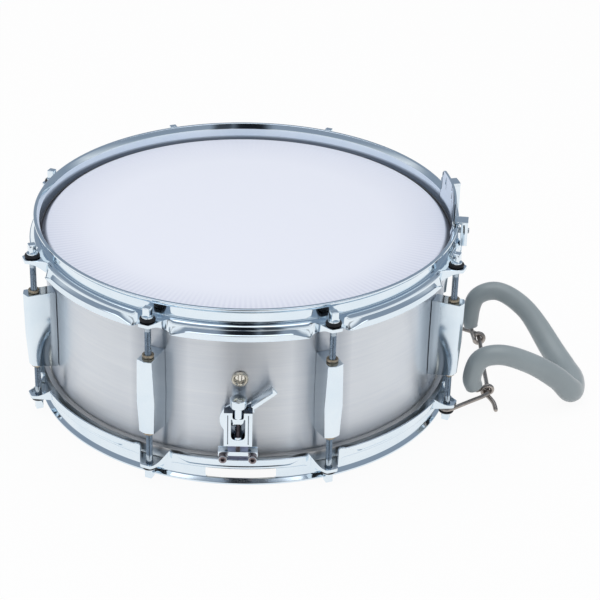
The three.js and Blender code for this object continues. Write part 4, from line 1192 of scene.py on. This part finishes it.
half_round = Matrix.Rotation(math.pi, 4, "Z")
PLATE_TOP, JAW_TOP, BUTT_SCREW = 60.0, 38.4, 33.4
butt_jaw_front = clamp_back + 3
butt_body = carved(
    block(full, (-base_front, -on_shell), (CLAMP_LOW, PLATE_TOP), 0),
    [block(full, (-jaw_front, -on_shell), (CLAMP_LOW, JAW_TOP), 0)], "UNION",
)
butt_body = carved(butt_body, screw_tunnels((base_front, jaw_front + 4), BUTT_SCREW))
chromed("butt_body", moved(eased(butt_body, 0.5, 2, 40), half_round), "drum", "butt_plate")
butt_jaw = block(full, (-butt_jaw_front, -clamp_back), (CLAMP_LOW, JAW_TOP), 0)
butt_jaw = carved(butt_jaw, screw_tunnels((clamp_back - 4, butt_jaw_front + 4), BUTT_SCREW))
chromed("butt_clamp", moved(eased(butt_jaw, 0.5, 2, 40), half_round), "drum", "butt_jaw")
for side, name in ((-1, "left"), (1, "right")):
    screw = moved(socket_screw(butt_jaw_front + GAP, 4.5, base_front + GAP), half_round)
    moved(screw, Matrix.Translation((side * SCREW_X, 0, BUTT_SCREW)))
    finish_screw(f"butt_screw_{name}", screw, nickel, "drum")

# %% [markdown]
# ## Snares and tape
#
# A snare strand is a coil of thin wire. A small ring of vertices is spun about the strand's line
# and moved along it a little at each step, which is what makes a spin into a coil. The coil is
# then copied for each strand, and all are soldered to an end plate. A flat tape runs from each
# plate out through the hoop's slot, and turns up between the jaws.

# %% Snare wires
snare_top = film_face - FILM
PLATE_THICK, PLATE_FROM, PLATE_TO = 1.6, 148.0, 158.0
snare_middle = snare_top - PLATE_THICK / 2
STRANDS, SPACING, COIL_RADIUS, COIL_WIRE = 10, 3.1, 0.44, 0.18
COIL_PITCH, COIL_STEPS = 1.15, 7

coil = bmesh.new()
bmesh.ops.create_circle(coil, segments=4, radius=COIL_WIRE)
moved(coil, Matrix.Translation((COIL_RADIUS, -PLATE_FROM - 1, 0)))
coil_turns = (2 * PLATE_FROM + 2) / COIL_PITCH
bmesh.ops.spin(
    coil, geom=coil.verts[:] + coil.edges[:], cent=(0, 0, 0), axis=(0, 1, 0),
    dvec=(0, COIL_PITCH / COIL_STEPS, 0), angle=FULL_TURN * coil_turns,
    steps=round(coil_turns * COIL_STEPS), use_merge=False,
)
bmesh.ops.holes_fill(coil, edges=[e for e in coil.edges if e.is_boundary], sides=0)
strand = coil.verts[:] + coil.edges[:] + coil.faces[:]
moved(coil, Matrix.Translation((-(STRANDS - 1) / 2 * SPACING, 0, snare_middle)))
for i in range(1, STRANDS):
    copy = bmesh.ops.duplicate(coil, geom=strand)["geom"]
    fresh = [v for v in copy if isinstance(v, bmesh.types.BMVert)]
    bmesh.ops.translate(coil, vec=(i * SPACING, 0, 0), verts=fresh)
bmesh.ops.recalc_face_normals(coil, faces=coil.faces)
finish_piece("snare_coils", coil, wire_steel, "drum", ["snare_wires"], "snare_steel", crease=80)
plate_high = (snare_top - PLATE_THICK, snare_top)
plates = joined([
    block(full, sorted((s * PLATE_FROM, s * PLATE_TO)), plate_high, 0.3) for s in (-1, 1)
])
finish_piece("snare_end_plates", plates, nickel, "drum")

# %% Tape
def tape_strip(side, centre, top):
    """A tape from between the jaws to an end plate, and its length."""
    middle = (tape_back + tape_front) / 2
    route = [Vector(p) for p in (
        (middle, top), (middle, 16.0), (middle - 2.05, 14.4), (FILM_FLAT - 0.6, snare_middle),
        (PLATE_TO + GAP, snare_middle),
    )]
    long = sum((b - a).length for a, b in zip(route, route[1:]))
    ways = [(route[min(i + 1, 4)] - route[max(i - 1, 0)]).normalized() for i in range(5)]
    off = [Vector((w.y, -w.x)) * TAPE / 2 for w in ways]
    one = [(*(p + o), 1.0) for p, o in zip(route, off)]
    other = [(*(p - o), 1.0) for p, o in zip(route, off)]
    bm = raised(rounded(one + other[::-1], segments=4), (-TAPE_HALF, TAPE_HALF))
    moved(bm, Matrix(((0, 0, 1, centre), (side, 0, 0, 0), (0, 1, 0, 0), (0, 0, 0, 1))))
    bmesh.ops.recalc_face_normals(bm, faces=bm.faces)
    return bm, long


TAPE_TOP = 41.2
for name, side, centre, top in (("front", -1, STRAINER_X, TAPE_TOP), ("rear", 1, 0, JAW_TOP)):
    strip, long = tape_strip(side, centre, top)
    node = [f"snare_strap_{name}"]
    piece = finish_piece(f"snare_tape_{name}", strip, tape, "drum", node, "strap_ribbon")
    print(f"tape {name}: {2 * TAPE_HALF} x {long:.1f} mm")

# %% [markdown]
# ## Leg rest
#
# A wire bracket loops round two bottom rods, and a bow of thicker wire is coiled round the
# bracket's cross bar at both ends, so it folds out. The wire's points are those of the solid
# model. The sleeve is one soft tube pushed over the bow, thicker where it bends at the far end.

# %% Bracket
CROSS_X, CROSS_NEAR, CROSS_FAR, BOW_WIRE = 219.3, 52.0, 57.0, 2.0
cross_level = SHELF - GAP - WIRE
loop = SHANK + 0.5 + WIRE
LOOP_TURN, LOOP_STEPS, BEND = math.radians(265), 12, 5
rod_x = ROD_CIRCLE * math.cos(EAR_SPACING / 2)
rod_y = -ROD_CIRCLE * math.sin(EAR_SPACING / 2)


def bent_wire(points, radius):
    path = curve_through(points, 6)
    radii = [radius] * len(path)
    radii[0] = radii[-1] = radius * 0.8
    return swept(path, radii, 18)


def wire_finished(name, bm, body, node):
    finish_piece(name, bm, wire_steel, body, [node], "wire_steel", crease=60)


def half_bracket(cross):
    """From the end of a loop round a rod, past the bracket's corner, onto its cross bar."""
    to_corner = Vector((CROSS_X - rod_x, -cross - rod_y))
    heading = math.atan2(to_corner.y, to_corner.x) - math.acos(loop / to_corner.length)
    path = []
    for i in range(LOOP_STEPS + 1):
        angle = heading - LOOP_TURN * (1 - i / LOOP_STEPS)
        out, across = rod_x + loop * math.cos(angle), rod_y + loop * math.sin(angle)
        path.append(Vector((out, across, cross_level)))
    corner = Vector((CROSS_X, -cross, cross_level))
    back_off = (path[-1] - corner).normalized() * BEND
    bend = corner + (back_off + Vector((0, BEND, 0))) / 4
    onto_bar = Vector((CROSS_X, -cross + BEND, cross_level))
    return path + [(path[-1] + corner) / 2, corner + back_off, bend, onto_bar]


near_half = half_bracket(CROSS_NEAR)
far_half = [Vector((p.x, -p.y, p.z)) for p in half_bracket(CROSS_FAR)][::-1]
bracket = bent_wire(near_half + [Vector((CROSS_X, 0, cross_level))] + far_half, WIRE)
wire_finished("rest_bracket_wire", bracket, "drum", "leg_rest_bracket")

# %% Bow and sleeve
BOW_REACH, BOW_HALF, BOW_TOP, BOW_FLOOR = 80.0, 58.0, 58.8, 10.2
EYE_FROM, EYE_PITCH = 10.5, 4.5
NEAR_LEAD, FAR_LEAD = (-0.13, -0.925, 0.145), (-0.08, 0.905, 0.13)
ROUTE = [
    (-0.165, -0.97, 0.25), (-0.2, -0.98, 0.45), (-0.12, -1, 0.86), (0.08, -1, 0.96),
    (0.42, -0.95, 0.77), (0.76, -0.83, 0.37), (0.935, -0.72, 0.05), (0.97, -0.34, 0),
    (0.805, 0.31, 0.2), (0.485, 0.82, 0.77), (0.17, 0.98, 1), (-0.05, 0.98, 0.86),
    (-0.105, 0.97, 0.4), (-0.09, 0.955, 0.2),
]
SLEEVE_RADII = [7.8, 8.3, 8.9, 9.1, 9.4, 10.2, 11.2, 11.6, 10.8, 9.2, 8.6, 8.2, 7.6, 6.2]


def bow_point(share):
    """A point of the bow, from its shares of the bow's reach, half width and height."""
    out, across, high = share
    level = BOW_FLOOR + high * (BOW_TOP - BOW_FLOOR)
    return Vector((CROSS_X + out * BOW_REACH, across * BOW_HALF, level))


def eye(start, side, sweep):
    """The wire's turns round the cross bar, which creep along the bar as they go."""
    radius, count = WIRE + 0.5 + BOW_WIRE, round(sweep / 30)
    points = []
    for i in range(count + 1):
        turned_by = math.radians(sweep) * i / count
        points.append(Vector((
            CROSS_X + radius * math.cos(math.pi + turned_by),
            side * (start + EYE_PITCH * turned_by / FULL_TURN),
            cross_level + radius * math.sin(math.pi + turned_by),
        )))
    return points


near_eye = eye(CROSS_NEAR - EYE_FROM, -1, 450)[::-1]
far_eye = eye(CROSS_FAR - EYE_FROM, 1, 390)
tail_end = Vector((CROSS_X + 6.8, near_eye[0].y - 17, cross_level - 9.6))
tail_middle = near_eye[0].lerp(tail_end, 0.45) + Vector((BOW_WIRE, 0, 0))
before_sleeve = [tail_end, tail_middle] + near_eye + [bow_point(NEAR_LEAD)]
bow_points = before_sleeve + [bow_point(s) for s in ROUTE] + [bow_point(FAR_LEAD)] + far_eye
wire_finished("rest_bow_wire", bent_wire(bow_points, BOW_WIRE), "leg_rest", "leg_rest_bow")

SLEEVE_STEPS = 8
covered = curve_through(bow_points, SLEEVE_STEPS)
first = len(before_sleeve) * SLEEVE_STEPS
covered = covered[first:first + (len(ROUTE) - 1) * SLEEVE_STEPS + 1]
sleeve_radii = []
for i in range(len(covered)):
    low = min(i // SLEEVE_STEPS, len(SLEEVE_RADII) - 2)
    t = eased_step(i / SLEEVE_STEPS, low, low + 1)
    sleeve_radii.append(SLEEVE_RADII[low] * (1 - t) + SLEEVE_RADII[low + 1] * t)
path = [Vector((p.x, p.y, max(p.z, r + GAP))) for p, r in zip(covered, sleeve_radii)]


def with_lips(path, radii, bore, lip):
    """Rounds both ends of a tube and turns them in to its bore, so the wall shows."""
    def lip_at(end, inner, radius):
        way = (end - inner).normalized()
        return ([end - way * 6, end + way * 0.2, end, end - way * lip],
                [bore, bore, radius - lip, radius])
    start, start_radii = lip_at(path[0], path[1], radii[0])
    end, end_radii = lip_at(path[-1], path[-2], radii[-1])
    return start + path[1:-1] + end[::-1], start_radii + radii[1:-1] + end_radii[::-1]


sleeve = swept(*with_lips(path, sleeve_radii, 3.4, 0.8), 28)
sleeve_node = ["leg_rest_sleeve"]
finish_piece(
    "rest_sleeve_rubber", sleeve, rubber, "leg_rest", sleeve_node, "sleeve_rubber", crease=60,
)

# %% [markdown]
# ## Sling bracket
#
# The bracket that the sling hooks into is a curved plate inside the hoop, with two hooks over the
# lip and a slotted set screw through each. Its plate is a part turn of a leaning profile, then cut.

# %% Sling bracket
LEAN, SLING_THICK = 1.4, 2.0
sling_low = 182.3
sling_high = sling_low + LEAN
sling_bottom = drum_height - film_face + 0.5
sling_top = drum_height + 18
bend_low = drum_height - 4.4
SLING_FROM, SLING_TO = 80.0, 105.6
plate_face = [
    (sling_low, sling_bottom), (sling_low, bend_low),
    (sling_high, drum_height), (sling_high, sling_top),
]
sling_profile = plate_face + [(r - SLING_THICK, h) for r, h in reversed(plate_face)]


def turned_to(bm, angle):
    return moved(bm, Matrix.Rotation(math.radians(angle), 4, "Z"))


def part_turn(profile, start, end, steps):
    bm = bmesh.new()
    verts = [bm.verts.new((r, 0, z)) for r, z in profile]
    face = bm.faces.new(verts)
    sweep = math.radians(end - start)
    bmesh.ops.spin(bm, geom=[face], cent=(0, 0, 0), axis=(0, 0, 1), angle=sweep, steps=steps)
    bmesh.ops.recalc_face_normals(bm, faces=bm.faces)
    return turned_to(bm, start - 90)


plate = part_turn(sling_profile, SLING_FROM, SLING_TO, 48)
past, reach_in = sling_high + 6, sling_low - SLING_THICK - 6
start_along = -sling_high * math.cos(math.radians(SLING_FROM))
end_along = -sling_high * math.cos(math.radians(SLING_TO))
over_top = sling_top + 0.3
sideways = Matrix(((0, 0, 1, 0), (1, 0, 0, 0), (0, 1, 0, 0), (0, 0, 0, 1)))
outside = (-past, -reach_in)
slope = moved(raised([
    (start_along - 6, sling_top - 14), (start_along, sling_top - 14),
    (start_along + 9, over_top), (start_along - 6, over_top),
], (reach_in, past)), sideways)
corner_cut = moved(raised([
    (end_along + 6, sling_top - 4), (end_along + 6, over_top), (end_along - 4, over_top),
    (end_along, sling_top - 4),
], (reach_in, past)), sideways)
strap_slot = block((-1.5, 1.5), outside, (drum_height + 7, drum_height + 12), 0.9, 3)
small_holes = [
    turned_to(rod_along("Y", 1.6, (0, 0, drum_height + rise), outside, 24, 0), 94.5)
    for rise in (5.6, 13.5)
]
plate = carved(plate, [slope, corner_cut, turned_to(strap_slot, 102.2)] + small_holes)
chromed("sling_plate", eased(plate, 0.4, 2, 40), "drum", "sling_bracket")

leg_inner, leg_outer, BRIDGE_THICK = 189.0, 195.0, 2.6
screw_level = drum_height - 7.5
for name, angle, rise in (("near", 83.5, 0.3), ("far", 103.3, 6.5)):
    level = drum_height + rise
    top = level + BRIDGE_THICK
    bridge = block((-6, 6), (-leg_outer, -sling_high + 1), (level, top), 0)
    leg = block((-5.5, 5.5), (-leg_outer, -leg_inner), (drum_height - 20, top), 0)
    hook = carved(bridge, [leg], "UNION")
    centre = (0, 0, screw_level)
    tunnel = rod_along("Y", 2.8, centre, (-leg_outer - 4, -leg_inner + 4), 32, 0)
    hook = eased(carved(hook, [tunnel]), 0.6, 2, 40)
    finish_piece(f"sling_hook_{name}", turned_to(hook, angle), chrome, "drum")
    screw = rod_along("Y", 2.4, centre, (-leg_outer - 1.2, 0.5 - FLESH_OUT), 32, 0.3)
    slot_high = (screw_level - 0.4, screw_level + 0.4)
    driver_slot = block((-8, 8), (-leg_outer - 5, -leg_outer - 0.4), slot_high, 0)
    screw = turned_to(carved(screw, [driver_slot]), angle)
    screw_node = [f"sling_screw_{name}"]
    finish_piece(f"sling_set_screw_{name}", screw, zinc, "drum", screw_node, "chrome")
print("triangles in all:", triangle_count)

# %% [markdown]
# ## Floor and light
#
# A bright product photograph has a white ground, and chrome shows what stands round it. So the
# camera's own rays see white, and the rays that a mirror sends out find a tent: nearly white at
# the horizon in front, blue-grey overhead and behind the drum, with two dark upright gaps in
# front. On the floor these rays also find a dark streak and a dark far edge, both towards the
# camera. The light itself stays plain and soft, so colours come out about as they are written.

# %% Floor
floor_bm = bmesh.new()
bmesh.ops.create_grid(floor_bm, x_segments=1, y_segments=1, size=30)
bmesh.ops.translate(floor_bm, vec=(0, 0, floor_level - 0.0002), verts=floor_bm.verts)
floor_mesh = bpy.data.meshes.new("floor")
floor_bm.to_mesh(floor_mesh)
floor_bm.free()
floor = bpy.data.objects.new("floor", floor_mesh)
scene.collection.objects.link(floor)

floor_finish, tree, shader = new_finish("floor_white")
drive(tree, shader, Base_Color=(0.9, 0.9, 0.9, 1), Roughness=0.9)
rays = tree.nodes.new("ShaderNodeLightPath")
glow = tree.nodes.new("ShaderNodeEmission")
mirror = math_node(tree, "ADD", rays.outputs["Is Glossy Ray"], rays.outputs["Is Transmission Ray"])
across, along_y, _ = axes_of(tree, place_in(tree))
past_edge = spread_over(tree, along_y, -0.95, -1.15, 0.0, 0.6)
streak = spread_over(tree, math_node(tree, "ABSOLUTE", across), 0.13, 0.06)
streak = times(tree, streak, spread_over(tree, along_y, -0.48, -0.54))
dark = times(tree, math_node(tree, "MAXIMUM", past_edge, streak), mirror)
tree.links.new(mixed(tree, dark, WHITE, (0.05, 0.07, 0.1, 1)), glow.inputs["Color"])
plain_share = times(tree, rays.outputs["Is Camera Ray"], 0.93)
share = math_node(tree, "MAXIMUM", plain_share, times(tree, mirror, 0.9))
blend = tree.nodes.new("ShaderNodeMixShader")
tree.links.new(share, blend.inputs["Fac"])
tree.links.new(shader.outputs["BSDF"], blend.inputs[1])
tree.links.new(glow.outputs["Emission"], blend.inputs[2])
tree.links.new(blend.outputs["Shader"], tree.nodes["Material Output"].inputs["Surface"])
floor_mesh.materials.append(floor_finish)

# %% World
world = bpy.data.worlds.new("studio")
scene.world = world
world.use_nodes = True
tree = world.node_tree
tree.nodes.clear()
x, y, z = axes_of(tree, place_in(tree, "Generated"))
bearing = math_node(tree, "ARCTAN2", x, times(tree, y, -1.0))
rise = math_node(tree, "ARCTAN2", z, length_of(tree, x, y))


def smooth_between(tree, value, low, high):
    made = spread_over(tree, value, low, high)
    made.node.interpolation_type = "SMOOTHSTEP"
    return made


def upright_gap(tree, bearing, middle, from_off, to_off):
    """A mask for a dark gap in the tent round a bearing, in degrees from straight in front."""
    beside = math_node(tree, "SUBTRACT", bearing, math.radians(middle))
    off = math_node(tree, "ABSOLUTE", beside)
    return smooth_between(tree, off, math.radians(from_off), math.radians(to_off))


overhead = smooth_between(tree, rise, math.radians(6), math.radians(24))
behind = smooth_between(tree, y, 0.0, 0.5)
shade = times(tree, math_node(tree, "MAXIMUM", overhead, behind), 0.95)
tent = mixed(tree, shade, (0.95, 0.96, 0.97, 1), (0.24, 0.29, 0.36, 1))
gap = upright_gap(tree, bearing, -1, 15, 6)
second = times(tree, upright_gap(tree, bearing, 15, 9, 3), 0.85)
gap = math_node(tree, "MAXIMUM", gap, second)
in_front = smooth_between(tree, y, 0.05, -0.15)
tent = mixed(tree, times(tree, gap, in_front), tent, (0.008, 0.01, 0.014, 1))
rays = tree.nodes.new("ShaderNodeLightPath")
glossy, through_glass = rays.outputs["Is Glossy Ray"], rays.outputs["Is Transmission Ray"]
mirror = math_node(tree, "MAXIMUM", glossy, through_glass)
PLAIN_LIGHT = (0.64, 0.64, 0.66, 1)
colour = mixed(tree, mirror, PLAIN_LIGHT, tent)
colour = mixed(tree, rays.outputs["Is Camera Ray"], colour, WHITE)
ground = tree.nodes.new("ShaderNodeBackground")
tree.links.new(colour, ground.inputs["Color"])
output = tree.nodes.new("ShaderNodeOutputWorld")
tree.links.new(ground.outputs["Background"], output.inputs["Surface"])

# %% Lamp
lamp_data = bpy.data.lights.new("softbox", "AREA")
lamp_data.shape = "RECTANGLE"
lamp_data.size, lamp_data.size_y = 2.2, 2.0
lamp_data.energy = 16
lamp = bpy.data.objects.new("softbox", lamp_data)
lamp.matrix_world = Matrix.Translation((-0.2, -0.1, floor_level + 1.9))
scene.collection.objects.link(lamp)
scene.view_settings.view_transform = "Standard"
